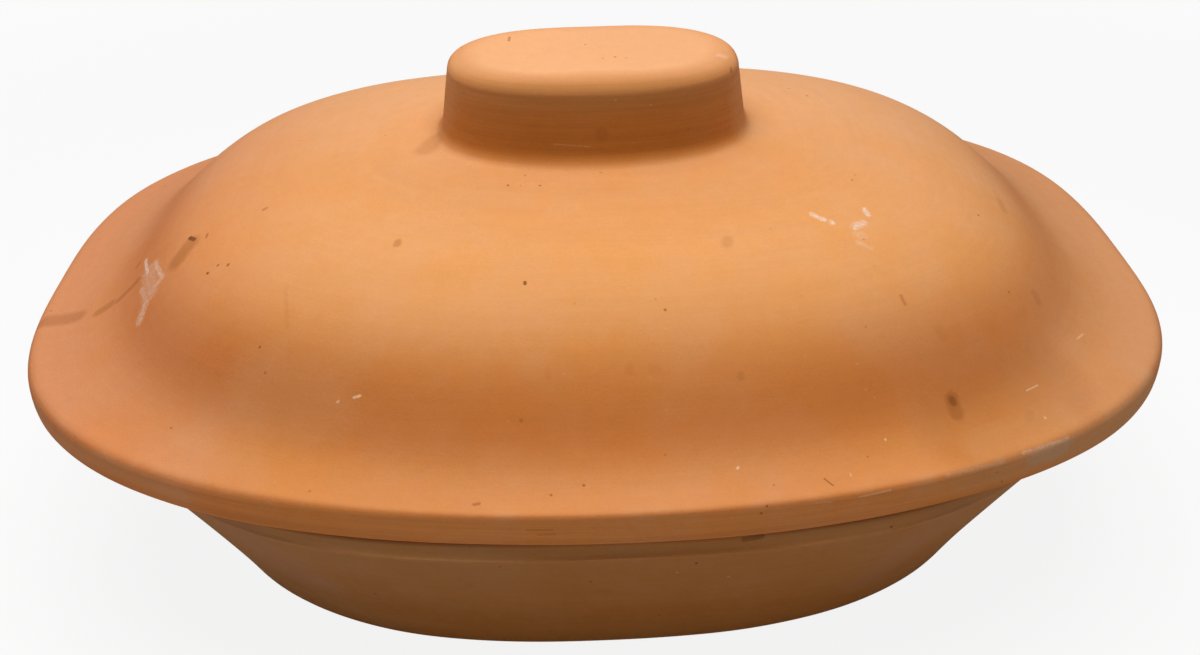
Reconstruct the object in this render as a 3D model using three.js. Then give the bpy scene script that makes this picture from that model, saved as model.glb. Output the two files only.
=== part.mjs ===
// Oval clay roaster: a tapering trough and the domed lid that rests on its rim.
// Both are thick fired clay, each one hollow body drawn around the upright axis.
// Millimetres, +Z up, +X along the length. The origin is the middle of the foot, on the table.
import * as THREE from 'three';

// Lid rim, seen from above. An oval with exponent 2 is an ellipse, and more is squarer.
const LID_LENGTH = 345;
const LID_WIDTH = 252;
const LID_END_EXPONENT = 2.06;
const LID_SIDE_EXPONENT = 3;

// Lid rim, seen from the side. The round of its lower edge starts well up its face and ends just
// under its foot.
const RIM_HEIGHT = 11;
const RIM_UPPER_EDGE = 1.8;
const RIM_LOWER_EDGE = 4.2;
const RIM_FOOT_EDGE = 1.8;

// Dome, from the rim up to the crown. The flare is the sweep of the end grips and the long sides.
const CROWN_RISE = 48.7;
const CROWN_END_INSET = 17;
const CROWN_SIDE_INSET = 20.5;
const CROWN_EXPONENT = 3.14;
const END_FLARE = 52;
const SIDE_FLARE = 29.8;
const FLARE_EXPONENT = 2.42;
const FLARE_SLOPE = 5.3;
const LID_WALL = 9;

// Knob, hollow from below. Its top rolls off gently and its side starts at a crisper edge.
const KNOB_LENGTH = 85.8;
const KNOB_WIDTH = 51.4;
const KNOB_EXPONENT = 2.39;
const KNOB_HEIGHT = 22.3;
const KNOB_DRAFT = 3.5;
const KNOB_UPPER_EDGE = 7.5;
const KNOB_SIDE_EDGE = 3.5;
const KNOB_FOOT_FILLET = 3.6;
const KNOB_WALL = 9;
const HOLLOW_MOUTH_EDGE = 5;
const HOLLOW_CEILING_EDGE = 6;

// Lip under the lid, which drops into the mouth of the base
const LIP_DEPTH = 6;
const LIP_WALL = 7;
const LIP_EDGE = 2;
const LIP_CLEARANCE = 1.5;

// Base. The overhang is how far the lid rim stands out past the shoulder.
const BASE_HEIGHT = 75.7;
const END_OVERHANG = 24;
const SIDE_OVERHANG = 1.4;
const SHOULDER_EXPONENT = 2.7;
const SHOULDER_LEDGE = 1.2;
const SHOULDER_EDGE = 0.9;
const NECK_HEIGHT = 4.9;
const SEAT_EDGE = 1.5;
const BASE_WALL = 9;
const END_TAPER = 24;
const SIDE_TAPER = 38;
const FOOT_EXPONENT = 2.44;
const FOOT_EDGE = 9;
const FLOOR_THICKNESS = 10;
const FLOOR_ROUND = 22;

// Air left between the lid and the rim it rests on
const SEAT_GAP = 0.3;

// Facets
const AROUND = 60;
const EDGE_STEPS = 4;
const SMALL_EDGE_STEPS = 2;
const DOME_STEPS = 12;
const VAULT_STEPS = 9;
const BISECTIONS = 50;

// Levels above the table
const RIM_BOTTOM = BASE_HEIGHT + SEAT_GAP;
const RIM_TOP = RIM_BOTTOM + RIM_HEIGHT;
const CROWN = RIM_TOP + CROWN_RISE;
const KNOB_TOP = CROWN + KNOB_HEIGHT;
const HOLLOW_CEILING = KNOB_TOP - KNOB_WALL;
const LIP_BOTTOM = RIM_BOTTOM - LIP_DEPTH;
const THROAT_BOTTOM = LIP_BOTTOM - LIP_CLEARANCE;
const SHOULDER = BASE_HEIGHT - NECK_HEIGHT;

// Ovals, seen from above
const RIM_OVAL = oval(LID_LENGTH / 2, LID_WIDTH / 2, LID_END_EXPONENT, LID_SIDE_EXPONENT);
const CROWN_OVAL = inset(RIM_OVAL, CROWN_END_INSET, CROWN_SIDE_INSET, CROWN_EXPONENT);
const FLARE_OVAL = inset(RIM_OVAL, END_FLARE, SIDE_FLARE, FLARE_EXPONENT);
const KNOB_OVAL = oval(KNOB_LENGTH / 2, KNOB_WIDTH / 2, KNOB_EXPONENT, KNOB_EXPONENT);
const SHOULDER_OVAL = inset(RIM_OVAL, END_OVERHANG, SIDE_OVERHANG, SHOULDER_EXPONENT);
const FOOT_OVAL = inset(SHOULDER_OVAL, END_TAPER, SIDE_TAPER, FOOT_EXPONENT);

function oval(halfLength, halfWidth, endExponent, sideExponent) {
  return { halfLength, halfWidth, endExponent, sideExponent };
}

// A smaller oval, drawn in at its ends and at its sides, with one exponent all round.
function inset(outer, atEnds, atSides, exponent) {
  return oval(outer.halfLength - atEnds, outer.halfWidth - atSides, exponent, exponent);
}

// The value between two bounds where a rising function reaches a target.
function solve(rising, target, low, high) {
  let below = low;
  let above = high;
  for (let step = 0; step < BISECTIONS; step++) {
    const middle = (below + above) / 2;
    if (rising(middle) < target) {
      below = middle;
    } else {
      above = middle;
    }
  }
  return (below + above) / 2;
}

// Distance from the axis to an oval |x / a|^p + |y / b|^q = 1, in one direction.
function reach(shape, angle) {
  const lengthwise = Math.abs(Math.cos(angle)) / shape.halfLength;
  const sideways = Math.abs(Math.sin(angle)) / shape.halfWidth;
  const along = (radius) => (radius * lengthwise) ** shape.endExponent;
  const across = (radius) => (radius * sideways) ** shape.sideExponent;
  return solve((radius) => along(radius) + across(radius), 1, 0, shape.halfLength + shape.halfWidth);
}

// A point of a section: distance from the axis, and height.
function at(radius, height) {
  return new THREE.Vector2(radius, height);
}

// A point on the line between two others, a given distance from the first.
function towards(from, to, distance) {
  const away = to.clone().sub(from);
  return from.clone().addScaledVector(away.normalize(), distance);
}

// A rounded corner: it leaves one arm and joins the other, as far from the corner unless told otherwise.
function corner(before, point, after, edge, steps, farEdge = edge) {
  const start = towards(point, before, edge);
  const end = towards(point, after, farEdge);
  return new THREE.QuadraticBezierCurve(start, point, end).getPoints(steps);
}

// The dome's outer line in one direction, from the axis at the crown out to the rim's upper edge.
function domeLine(angle) {
  const end = reach(RIM_OVAL, angle) - RIM_UPPER_EDGE;
  const flare = reach(FLARE_OVAL, angle);
  const flareHeight = RIM_TOP + (end - flare) * Math.tan(THREE.MathUtils.degToRad(FLARE_SLOPE));
  return new THREE.CubicBezierCurve(
    at(0, CROWN),
    at(reach(CROWN_OVAL, angle), CROWN),
    at(flare, flareHeight),
    at(end, RIM_TOP),
  );
}

// A point of the vault under the dome, one wall in from the outer line.
function vaultPoint(dome, share) {
  const along = dome.getTangent(share);
  return dome.getPoint(share).addScaledVector(at(-along.y, along.x), -LID_WALL);
}

// Points of a line at even steps of its parameter.
function samples(pointAt, from, to, steps) {
  return Array.from({ length: steps + 1 }, (_, step) => pointAt(from + ((to - from) * step) / steps));
}

// Distance from the axis to the mouth of the base, which the lid's lip drops into.
function mouthReach(angle) {
  return reach(SHOULDER_OVAL, angle) - SHOULDER_LEDGE - BASE_WALL;
}

// The lid in one direction: down over the knob, the dome and the rim, then back up underneath.
function lidSection(angle) {
  const rim = reach(RIM_OVAL, angle);
  const dome = domeLine(angle);
  const vault = (share) => vaultPoint(dome, share);
  const domeShare = (radius) => solve((share) => dome.getPoint(share).x, radius, 0, 1);
  const vaultShare = (radius) => solve((share) => vault(share).x, radius, 0, 1);

  const knobEdge = at(reach(KNOB_OVAL, angle), KNOB_TOP);
  const knobFootReach = knobEdge.x + KNOB_DRAFT;
  const knobFoot = dome.getPoint(domeShare(knobFootReach));
  const domeStart = domeShare(knobFootReach + KNOB_FOOT_FILLET);
  const domePoints = samples((share) => dome.getPoint(share), domeStart, 1, DOME_STEPS);

  const rimSlope = dome.getTangent(1);
  const rimEdge = at(rim, RIM_TOP + (RIM_UPPER_EDGE * rimSlope.y) / rimSlope.x);
  const rimFoot = at(rim, RIM_BOTTOM);

  const lipRoot = at(mouthReach(angle) - LIP_CLEARANCE, RIM_BOTTOM);
  const lipOuter = at(lipRoot.x, LIP_BOTTOM);
  const lipInner = at(lipRoot.x - LIP_WALL, LIP_BOTTOM);

  const hollowMouthReach = knobFootReach - KNOB_WALL;
  const hollowEdge = at(knobEdge.x - KNOB_WALL, HOLLOW_CEILING);
  const hollowMouth = vault(vaultShare(hollowMouthReach));
  const vaultEnd = vaultShare(hollowMouthReach + HOLLOW_MOUTH_EDGE);
  const vaultPoints = samples(vault, vaultShare(lipInner.x), vaultEnd, VAULT_STEPS);

  return [
    at(0, KNOB_TOP),
    ...corner(at(0, KNOB_TOP), knobEdge, knobFoot, KNOB_UPPER_EDGE, EDGE_STEPS, KNOB_SIDE_EDGE),
    ...corner(knobEdge, knobFoot, domePoints[0], KNOB_FOOT_FILLET, EDGE_STEPS).slice(0, -1),
    ...domePoints.slice(0, -1),
    ...corner(domePoints.at(-1), rimEdge, rimFoot, RIM_UPPER_EDGE, EDGE_STEPS),
    ...corner(rimEdge, rimFoot, lipRoot, RIM_LOWER_EDGE, EDGE_STEPS, RIM_FOOT_EDGE),
    lipRoot,
    ...corner(lipRoot, lipOuter, lipInner, LIP_EDGE, SMALL_EDGE_STEPS),
    ...corner(lipOuter, lipInner, vaultPoints[0], LIP_EDGE, SMALL_EDGE_STEPS),
    ...vaultPoints.slice(0, -1),
    ...corner(vaultPoints.at(-1), hollowMouth, hollowEdge, HOLLOW_MOUTH_EDGE, EDGE_STEPS),
    ...corner(hollowMouth, hollowEdge, at(0, HOLLOW_CEILING), HOLLOW_CEILING_EDGE, EDGE_STEPS),
    at(0, HOLLOW_CEILING),
  ];
}

// The base in one direction: out over the floor, up through the straight throat to the seat, then down
// the outside to the foot.
function baseSection(angle) {
  const shoulderEdge = at(reach(SHOULDER_OVAL, angle), SHOULDER);
  const neckRoot = at(shoulderEdge.x - SHOULDER_LEDGE, SHOULDER);
  const seatOuter = at(neckRoot.x, BASE_HEIGHT);
  const seatInner = at(mouthReach(angle), BASE_HEIGHT);
  const throat = at(seatInner.x, THROAT_BOTTOM);
  const footEdge = at(reach(FOOT_OVAL, angle), 0);
  const wallAtFloor = footEdge.clone().lerp(shoulderEdge, FLOOR_THICKNESS / SHOULDER);
  const floorEdge = at(wallAtFloor.x - BASE_WALL, FLOOR_THICKNESS);
  const floorMiddle = at(0, FLOOR_THICKNESS);
  const footMiddle = at(0, 0);

  return [
    floorMiddle,
    ...corner(floorMiddle, floorEdge, throat, FLOOR_ROUND, EDGE_STEPS),
    throat,
    ...corner(throat, seatInner, seatOuter, SEAT_EDGE, SMALL_EDGE_STEPS),
    ...corner(seatInner, seatOuter, neckRoot, SEAT_EDGE, SMALL_EDGE_STEPS),
    neckRoot,
    ...corner(neckRoot, shoulderEdge, footEdge, SHOULDER_EDGE, SMALL_EDGE_STEPS),
    ...corner(shoulderEdge, footEdge, footMiddle, FOOT_EDGE, EDGE_STEPS),
    footMiddle,
  ];
}

// Directions round the axis, closer together where the rim turns its ends.
function directions() {
  return Array.from({ length: AROUND }, (_, step) => {
    const turn = (2 * Math.PI * step) / AROUND;
    return Math.atan2(LID_WIDTH * Math.sin(turn), LID_LENGTH * Math.cos(turn));
  });
}

// One closed body whose section starts and ends on the axis and changes with the direction.
function roundBody(sectionAt) {
  const angles = directions();
  const sections = angles.map(sectionAt);
  const rings = sections[0].length - 2;
  const positions = [];
  const triangles = [];
  const vertex = (ring, step) => ring * AROUND + (step % AROUND);
  const top = rings * AROUND;
  const bottom = top + 1;

  for (let ring = 0; ring < rings; ring++) {
    angles.forEach((angle, step) => {
      const point = sections[step][ring + 1];
      positions.push(point.x * Math.cos(angle), point.x * Math.sin(angle), point.y);
    });
  }
  positions.push(0, 0, sections[0][0].y);
  positions.push(0, 0, sections[0][rings + 1].y);

  for (let step = 0; step < AROUND; step++) {
    triangles.push(top, vertex(0, step), vertex(0, step + 1));
    for (let ring = 0; ring < rings - 1; ring++) {
      const here = vertex(ring, step);
      const beside = vertex(ring, step + 1);
      const under = vertex(ring + 1, step);
      const across = vertex(ring + 1, step + 1);
      triangles.push(here, under, across);
      triangles.push(here, across, beside);
    }
    triangles.push(bottom, vertex(rings - 1, step + 1), vertex(rings - 1, step));
  }

  const geometry = new THREE.BufferGeometry();
  geometry.setAttribute('position', new THREE.Float32BufferAttribute(positions, 3));
  geometry.setIndex(triangles);
  geometry.computeVertexNormals();
  return geometry;
}

// A named piece of fired clay.
function clayPiece(name, sectionAt, colour) {
  const clay = new THREE.MeshStandardMaterial({ color: colour, roughness: 0.9, metalness: 0 });
  const piece = new THREE.Mesh(roundBody(sectionAt), clay);
  piece.name = name;
  return piece;
}

const roaster = new THREE.Group();
roaster.add(clayPiece('base', baseSection, 0xb0713f));
roaster.add(clayPiece('lid', lidSection, 0xdd9560));

export default roaster;
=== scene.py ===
"""Oval clay roaster, dressed for the photograph.

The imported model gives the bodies. Its two faceted pieces are redrawn here as fine surfaces on the same
sections, with softer edges and the unevenness of hand-finished clay, and get procedural finishes.
Sections are in millimetres, meshes in metres, +Z up and +X along the length.
"""

from __future__ import annotations

import logging
from abc import ABC, abstractmethod
from collections.abc import Callable, Sequence
from dataclasses import dataclass
from enum import Enum
from typing import ClassVar

import bpy
import numpy as np
from mathutils import Matrix, Vector

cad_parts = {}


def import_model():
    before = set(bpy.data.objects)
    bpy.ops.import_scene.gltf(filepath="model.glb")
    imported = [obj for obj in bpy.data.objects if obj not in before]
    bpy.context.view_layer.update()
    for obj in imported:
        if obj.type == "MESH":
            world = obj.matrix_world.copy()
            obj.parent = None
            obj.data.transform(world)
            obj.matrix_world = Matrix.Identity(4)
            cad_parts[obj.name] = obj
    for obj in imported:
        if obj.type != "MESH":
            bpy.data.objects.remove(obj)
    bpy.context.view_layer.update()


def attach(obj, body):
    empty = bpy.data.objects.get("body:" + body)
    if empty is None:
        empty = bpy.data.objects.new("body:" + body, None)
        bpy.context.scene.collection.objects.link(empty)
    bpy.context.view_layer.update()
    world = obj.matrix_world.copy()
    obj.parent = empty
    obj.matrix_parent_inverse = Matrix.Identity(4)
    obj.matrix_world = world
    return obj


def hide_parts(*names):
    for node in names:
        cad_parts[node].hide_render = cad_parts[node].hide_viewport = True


Array = np.ndarray
Range = tuple[float, float]
Pixel = tuple[float, float]
Colour = tuple[float, float, float]
Triple = tuple[float, float, float]
Socket = bpy.types.NodeSocket
Feed = Socket | float | tuple[float, ...] | Vector

LOG = logging.getLogger("clay_roaster")
MM = 0.001
DIRECTIONS = 432
BISECTIONS = 44
# Limits of the dryness share, whose cool cast is partly painted sheen.
DRY_AND_SHEEN_LIMITS: Range = (-0.2, 1.0)
IMAGE_WIDTH = 1200
IMAGE_HEIGHT = 655
SENSOR_WIDTH = 36.0
WHITE: Colour = (1.0, 1.0, 1.0)
EVEN: Triple = (1.0, 1.0, 1.0)


def link(name: str, data: bpy.types.ID) -> bpy.types.Object:
    """Puts a mesh, a lamp or a camera in the scene.

    Args:
        name: the object's name.
        data: what the object shows.

    Returns:
        The object, at the origin.
    """
    made = bpy.data.objects.new(name, data)
    bpy.context.scene.collection.objects.link(made)
    return made


def solve(rising: Callable[[Array], Array], target: Array, low: Array, high: Array) -> Array:
    """Finds where a rising function meets its target, by halving the span that holds the answer.

    Args:
        rising: function of an array of trial values, one for each direction.
        target: value wanted in each direction.
        low: lower bounds.
        high: upper bounds.

    Returns:
        The solved value in each direction.
    """
    for _ in range(BISECTIONS):
        middle = (low + high) / 2
        short = rising(middle) < target
        low = np.where(short, middle, low)
        high = np.where(short, high, middle)
    return (low + high) / 2


def at(radius: Array | float, height: Array | float) -> Array:
    """Section points: distance from the axis and height, side by side in the last axis."""
    return np.stack(np.broadcast_arrays(np.asarray(radius, float), np.asarray(height, float)), axis=-1)


def towards(start: Array, end: Array, distance: float | Array) -> Array:
    """Points a given distance from start, on the way to end."""
    away = end - start
    return start + away * (distance / np.linalg.norm(away, axis=-1, keepdims=True))


def bezier(controls: Sequence[Array], share: Array) -> Array:
    """Points of Bezier curves: the control points are drawn together pair by pair until one is left.

    Args:
        controls: control points, each an array of one point for each direction.
        share: parameters from 0 to 1, whose last axis is the direction.

    Returns:
        The points, with a last axis of radius and height.
    """
    points = list(controls)
    while len(points) > 1:
        points = [near + (far - near) * share[..., None] for near, far in zip(points, points[1:])]
    return points[0]


@dataclass(frozen=True)
class Ramp:
    """A smooth rise from 0 at low to its amount at high, level beyond both."""

    low: float
    high: float
    amount: float = 1.0

    def __call__(self, value: Array) -> Array:
        """The amount times 3 s^2 - 2 s^3, where s is the clipped share of the way from low to high."""
        share = np.clip((value - self.low) / (self.high - self.low), 0, 1)
        return self.amount * share * share * (3 - 2 * share)


class Zone(Enum):
    """What a band of a piece's surface is, which sets its finish."""

    SKIN = 0
    INNER = 1
    RUBBED = 2


@dataclass(frozen=True)
class Oval:
    """An outline |x / a|^p + |y / b|^q = 1, seen from above."""

    half_length: float
    half_width: float
    end_exponent: float
    side_exponent: float

    def inset(self, at_ends: float, at_sides: float, exponent: float) -> Oval:
        """A smaller oval, drawn in at its ends and sides, with one exponent all round."""
        return Oval(self.half_length - at_ends, self.half_width - at_sides, exponent, exponent)

    def reach(self, turns: Array) -> Array:
        """Distance from the axis to the outline in each direction.

        Args:
            turns: directions round the axis, in radians.

        Returns:
            The radius r where (r |cos| / a)^p + (r |sin| / b)^q is 1.
        """
        lengthwise = np.abs(np.cos(turns)) / self.half_length
        sideways = np.abs(np.sin(turns)) / self.half_width
        top = np.full_like(turns, self.half_length + self.half_width)

        def level(radius: Array) -> Array:
            """The outline's left-hand side at these radii."""
            return (radius * lengthwise) ** self.end_exponent + (radius * sideways) ** self.side_exponent

        return solve(level, np.ones_like(turns), np.zeros_like(turns), top)


@dataclass(frozen=True)
class Strip:
    """A band of rings.

    Attributes:
        zone: what the band is.
        points: section points by ring, direction and (radius, height).
        wiped_and_painted_light: how far a wet sponge went over the band, which leaves grooves and
            streaks, and how far it is lightened with painted light where it lies in shade, at its first
            and last ring.
        painted_shade: how far the band is darkened with painted shade, at its first and last ring.
        painted_shade: how far hands have darkened the band, at its first and last ring.
        arris: whether the band is an edge that rubs.
    """

    zone: Zone
    points: Array
    # Share of sponge work, which also lightens the colour as painted light on faces in shade.
    wiped_and_painted_light: Range = (0.0, 0.0)
    # Share of painted shade, which darkens the colour.
    painted_shade: Range = (0.0, 0.0)
    arris: bool = False


def line(start: Array, end: Array, rings: int) -> Array:
    """Rings evenly spaced between two points, without the points themselves."""
    share = np.arange(1, rings + 1)[:, None, None] / (rings + 1)
    return start + (end - start) * share


def corner(
    before: Array,
    point: Array,
    after: Array,
    edge: float | Array,
    rings: int,
    far_edge: float | Array | None = None,
) -> Array:
    """A rounded corner, which leaves one arm and joins the other.

    Args:
        before: a point on the arm that leads in.
        point: the corner.
        after: a point on the arm that leads out.
        edge: distance from the corner to both ends of the round, one for all directions or a column.
        rings: rings in the round, both ends included.
        far_edge: distance from the corner to the far end, where it isn't the same.

    Returns:
        Points of a quadratic Bezier curve with the corner as its middle control.
    """
    start = towards(point, before, edge)
    end = towards(point, after, edge if far_edge is None else far_edge)
    share = np.linspace(0, 1, rings)[:, None] * np.ones(len(start))
    return bezier([start, point * np.ones_like(start), end], share)


@dataclass(frozen=True)
class Ripple:
    """Level grooves that wander up and down on their way round a piece.

    Attributes:
        spacing: from groove to groove, in millimetres.
        sway: how far they wander, in radians of their wave.
        lobes: how often they do so in one turn.
        phase: the wandering's phase at the +X end, in radians.
    """

    spacing: float
    sway: float
    lobes: int
    phase: float

    def wave(self, height: Array, turns: Array) -> Array:
        """sin(2 pi height / spacing + sway sin(lobes turn + phase)) at each point."""
        wander = self.sway * np.sin(self.lobes * turns + self.phase)
        return np.sin(height * (2 * np.pi / self.spacing) + wander)


@dataclass(frozen=True)
class ClayRelief:
    """The small unevenness of a hand-finished piece, always into the clay so that its size is kept.

    Attributes:
        seed: seed of the waves' directions and phases.
        depth: deepest hollow of the slow unevenness, in millimetres.
        groove: depth of the grooves that the wiping sponge leaves, in millimetres.
    """

    seed: int
    depth: float = 0.45
    groove: float = 0.09

    WAVES: ClassVar[int] = 14
    WAVE_LENGTHS: ClassVar[Range] = (28.0, 120.0)
    CONTRAST: ClassVar[float] = 2.0
    FINE: ClassVar[Ripple] = Ripple(1.6, 1.1, 2, 0.4)
    BROAD: ClassVar[Ripple] = Ripple(4.1, 0.9, 3, 2.0)
    FADE_LOBES: ClassVar[int] = 5
    FADE_CLIMB: ClassVar[float] = 0.6

    def hollows(self, points: Array) -> Array:
        """Slow unevenness: the weighted mean of sine waves that run in fixed directions.

        Args:
            points: positions in millimetres, with x, y, z in the last axis.

        Returns:
            Depth into the clay at each point, in millimetres.
        """
        draw = np.random.default_rng(self.seed)
        headings = draw.normal(size=(3, self.WAVES))
        headings /= np.linalg.norm(headings, axis=0)
        lengths = np.geomspace(*self.WAVE_LENGTHS, self.WAVES)
        weights = lengths / lengths.sum()
        phases = draw.uniform(0, 2 * np.pi, self.WAVES)
        swing = np.sin(points @ (headings * (2 * np.pi / lengths)) + phases) @ weights
        return self.depth * (0.5 + 0.5 * np.clip(swing * self.CONTRAST, -1, 1))

    def grooves(self, height: Array, turns: Array) -> Array:
        """Wiped grooves: half deep on average, plus a quarter of a broad and of a fading fine ripple.

        Args:
            height: heights in millimetres.
            turns: directions round the axis.

        Returns:
            Depth into the clay at each point, in millimetres.
        """
        fade = 0.5 + 0.5 * np.sin(self.FADE_LOBES * turns + self.FADE_CLIMB * height)
        fine = self.FINE.wave(height, turns) * fade
        return self.groove * (0.5 + 0.25 * fine + 0.25 * self.BROAD.wave(height, turns))


@dataclass(frozen=True)
class WeatheringAndPaintedLight:
    """How drying and firing have changed the clay at each point.

    Attributes:
        dry_and_painted_sheen: how far it is dried and cool in colour, within DRY_AND_SHEEN_LIMITS;
            the cool pale cast is partly painted sheen and painted cool light.
        flush: how far it is flushed red, from 0 to 1.
        painted_top_light: share that it keeps of the paler colour of upward faces, which is painted light.
    """

    # Dried, cool colour, partly painted sheen.
    dry_and_painted_sheen: Array
    flush: Array
    # Painted top light: paler colour on upward faces.
    painted_top_light: Array


@dataclass(frozen=True)
class Shell:
    """A closed surface whose section starts and ends on the axis and changes with the direction.

    Attributes:
        name: the object's name.
        strips: the section's bands, in order from pole to pole.
        poles: heights of the first and the last point, on the axis.
        turns: directions round the axis.
        relief: the unevenness of this piece.
        top_light_levels: heights over which the painted top light, paler colour on upward faces, grows
            to its full strength.
        weather_and_light: how given points have weathered, and how much painted top light they keep.
    """

    name: str
    strips: Sequence[Strip]
    poles: Range
    turns: Array
    relief: ClayRelief
    top_light_levels: Ramp
    weather_and_light: Callable[[Array], WeatheringAndPaintedLight]

    EDGE_REACH: ClassVar[float] = 2.6
    # Painted top light: paler colour on faces that turn up, strongest high on the piece.
    TOP_LIGHT_TILT: ClassVar[Ramp] = Ramp(0.56, 0.92)
    LOW_TOP_LIGHT: ClassVar[float] = 0.6
    # Painted shade is strongest on faces that turn to the front, and a fifth as strong at the back.
    PAINTED_SHADE_FRONT: ClassVar[Ramp] = Ramp(-0.3, 0.9)
    BACK_PAINTED_SHADE: ClassVar[float] = 0.2

    @property
    def ring_counts(self) -> Array:
        """Rings in each strip."""
        return np.array([len(strip.points) for strip in self.strips])

    def per_ring(self, ends: Callable[[Strip], Range]) -> Array:
        """A column of values, one for each ring, going evenly from a strip's first ring to its last."""
        runs = [np.linspace(*ends(strip), len(strip.points)) for strip in self.strips]
        return np.concatenate(runs)[:, None]

    def edge_closeness(self, section: Array) -> Array:
        """Closeness to the nearest arris: exp(-(s / reach)^2) of the distance s along the section.

        Args:
            section: section points by ring, direction and (radius, height).

        Returns:
            Values from 0 to 1 by ring and direction.
        """
        steps = np.linalg.norm(np.diff(section, axis=0), axis=-1)
        along = np.concatenate([np.zeros((1, steps.shape[1])), np.cumsum(steps, axis=0)])
        counts = self.ring_counts
        middles = np.cumsum(counts) - counts + counts // 2
        arrises = middles[[strip.arris for strip in self.strips]]
        away = np.abs(along[None] - along[arrises][:, None]).min(axis=0)
        return np.exp(-((away / self.EDGE_REACH) ** 2))

    def grid(self) -> tuple[Array, dict[str, Array]]:
        """Positions of the rings, and what the finishes need to know about them.

        Returns:
            Positions in millimetres by ring and direction, and the mesh's named values.
        """
        section = np.concatenate([strip.points for strip in self.strips])
        radius, height = section[..., 0], section[..., 1]
        smooth = np.stack([radius * np.cos(self.turns), radius * np.sin(self.turns), height], axis=-1)
        down = np.gradient(smooth, axis=0)
        around = np.roll(smooth, -1, axis=1) - np.roll(smooth, 1, axis=1)
        normal = np.cross(down, around)
        normal /= np.linalg.norm(normal, axis=-1, keepdims=True)

        every = np.ones_like(radius)
        # Sponge share, which also brings painted light on faces in shade.
        wiped_and_painted_light = self.per_ring(lambda strip: strip.wiped_and_painted_light) * every
        # Painted shade, strongest towards the front.
        frontal = self.PAINTED_SHADE_FRONT(-np.sin(self.turns))
        shade_by_direction = self.BACK_PAINTED_SHADE + (1 - self.BACK_PAINTED_SHADE) * frontal
        painted_shade = self.per_ring(lambda strip: strip.painted_shade) * shade_by_direction * every
        uneven = self.per_ring(lambda strip: (float(strip.zone is not Zone.RUBBED),) * 2) * every
        depth = self.relief.hollows(smooth) + wiped_and_painted_light * self.relief.grooves(height, self.turns)
        placed = smooth - normal * (depth * uneven)[..., None]

        raised = self.LOW_TOP_LIGHT + (1 - self.LOW_TOP_LIGHT) * self.top_light_levels(height)
        weather_and_light = self.weather_and_light(smooth)
        values = {
            "wiped_and_painted_light": wiped_and_painted_light,
            "painted_shade": painted_shade,
            "edge": self.edge_closeness(section),
            # Painted top light: paler on faces that turn up and on high parts of the piece.
            "painted_top_light": self.TOP_LIGHT_TILT(normal[..., 2]) * raised * weather_and_light.painted_top_light,
            "dry_and_painted_sheen": weather_and_light.dry_and_painted_sheen,
            "flush": weather_and_light.flush,
        }
        return placed, values

    def build(self) -> bpy.types.Object:
        """Makes the object: rings joined by quads, closed by a fan of triangles at each pole.

        Returns:
            The object, at the origin, with a material index for each zone.
        """
        placed, values = self.grid()
        rings, count = placed.shape[:2]
        poles = np.array([[0, 0, height] for height in self.poles])
        points = np.concatenate([placed.reshape(-1, 3), poles]) * MM
        first_pole, last_pole = rings * count, rings * count + 1

        index = np.arange(rings * count).reshape(rings, count)
        beside = np.roll(index, -1, axis=1)
        quads = np.stack([index[:-1], index[1:], beside[1:], beside[:-1]], axis=-1).reshape(-1, 4)
        opening = np.stack([np.full(count, first_pole), index[0], beside[0]], axis=-1)
        closing = np.stack([np.full(count, last_pole), beside[-1], index[-1]], axis=-1)
        loops = np.concatenate([quads.ravel(), opening.ravel(), closing.ravel()])
        sizes = np.repeat([quads.shape[1], opening.shape[1]], [len(quads), 2 * count])

        ring_zones = np.repeat([strip.zone.value for strip in self.strips], self.ring_counts)
        fan_zones = [ring_zones[0], ring_zones[-1]]
        face_zones = np.repeat(np.concatenate([ring_zones[:-1], fan_zones]), count)

        mesh = bpy.data.meshes.new(self.name)
        mesh.vertices.add(len(points))
        mesh.vertices.foreach_set("co", points.astype(np.float32).ravel())
        mesh.loops.add(len(loops))
        mesh.loops.foreach_set("vertex_index", loops.astype(np.int32))
        mesh.polygons.add(len(sizes))
        mesh.polygons.foreach_set("loop_start", (np.cumsum(sizes) - sizes).astype(np.int32))
        mesh.polygons.foreach_set("material_index", face_zones.astype(np.int32))
        mesh.polygons.foreach_set("use_smooth", np.ones(len(sizes), bool))
        mesh.update(calc_edges=True)
        for name, value in values.items():
            ends = [value[0].mean(), value[-1].mean()]
            layer = mesh.attributes.new(name, "FLOAT", "POINT")
            layer.data.foreach_set("value", np.concatenate([value.ravel(), ends]).astype(np.float32))
        return link(self.name, mesh)


class BaseRings:
    """Rings in the base's bands. The upper side is the part of the side with almost no sponge work or
    painted light.
    """

    FLOOR = 16
    FLOOR_BEND = 15
    INSIDE = 26
    THROAT = 6
    SEAT_EDGE = 5
    SEAT = 4
    NECK = 2
    NECK_ROOT = 6
    SHOULDER = 6
    SIDE = 44
    UPPER_SIDE = 30
    FOOT_BEND = 12
    FOOT = 18


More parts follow.
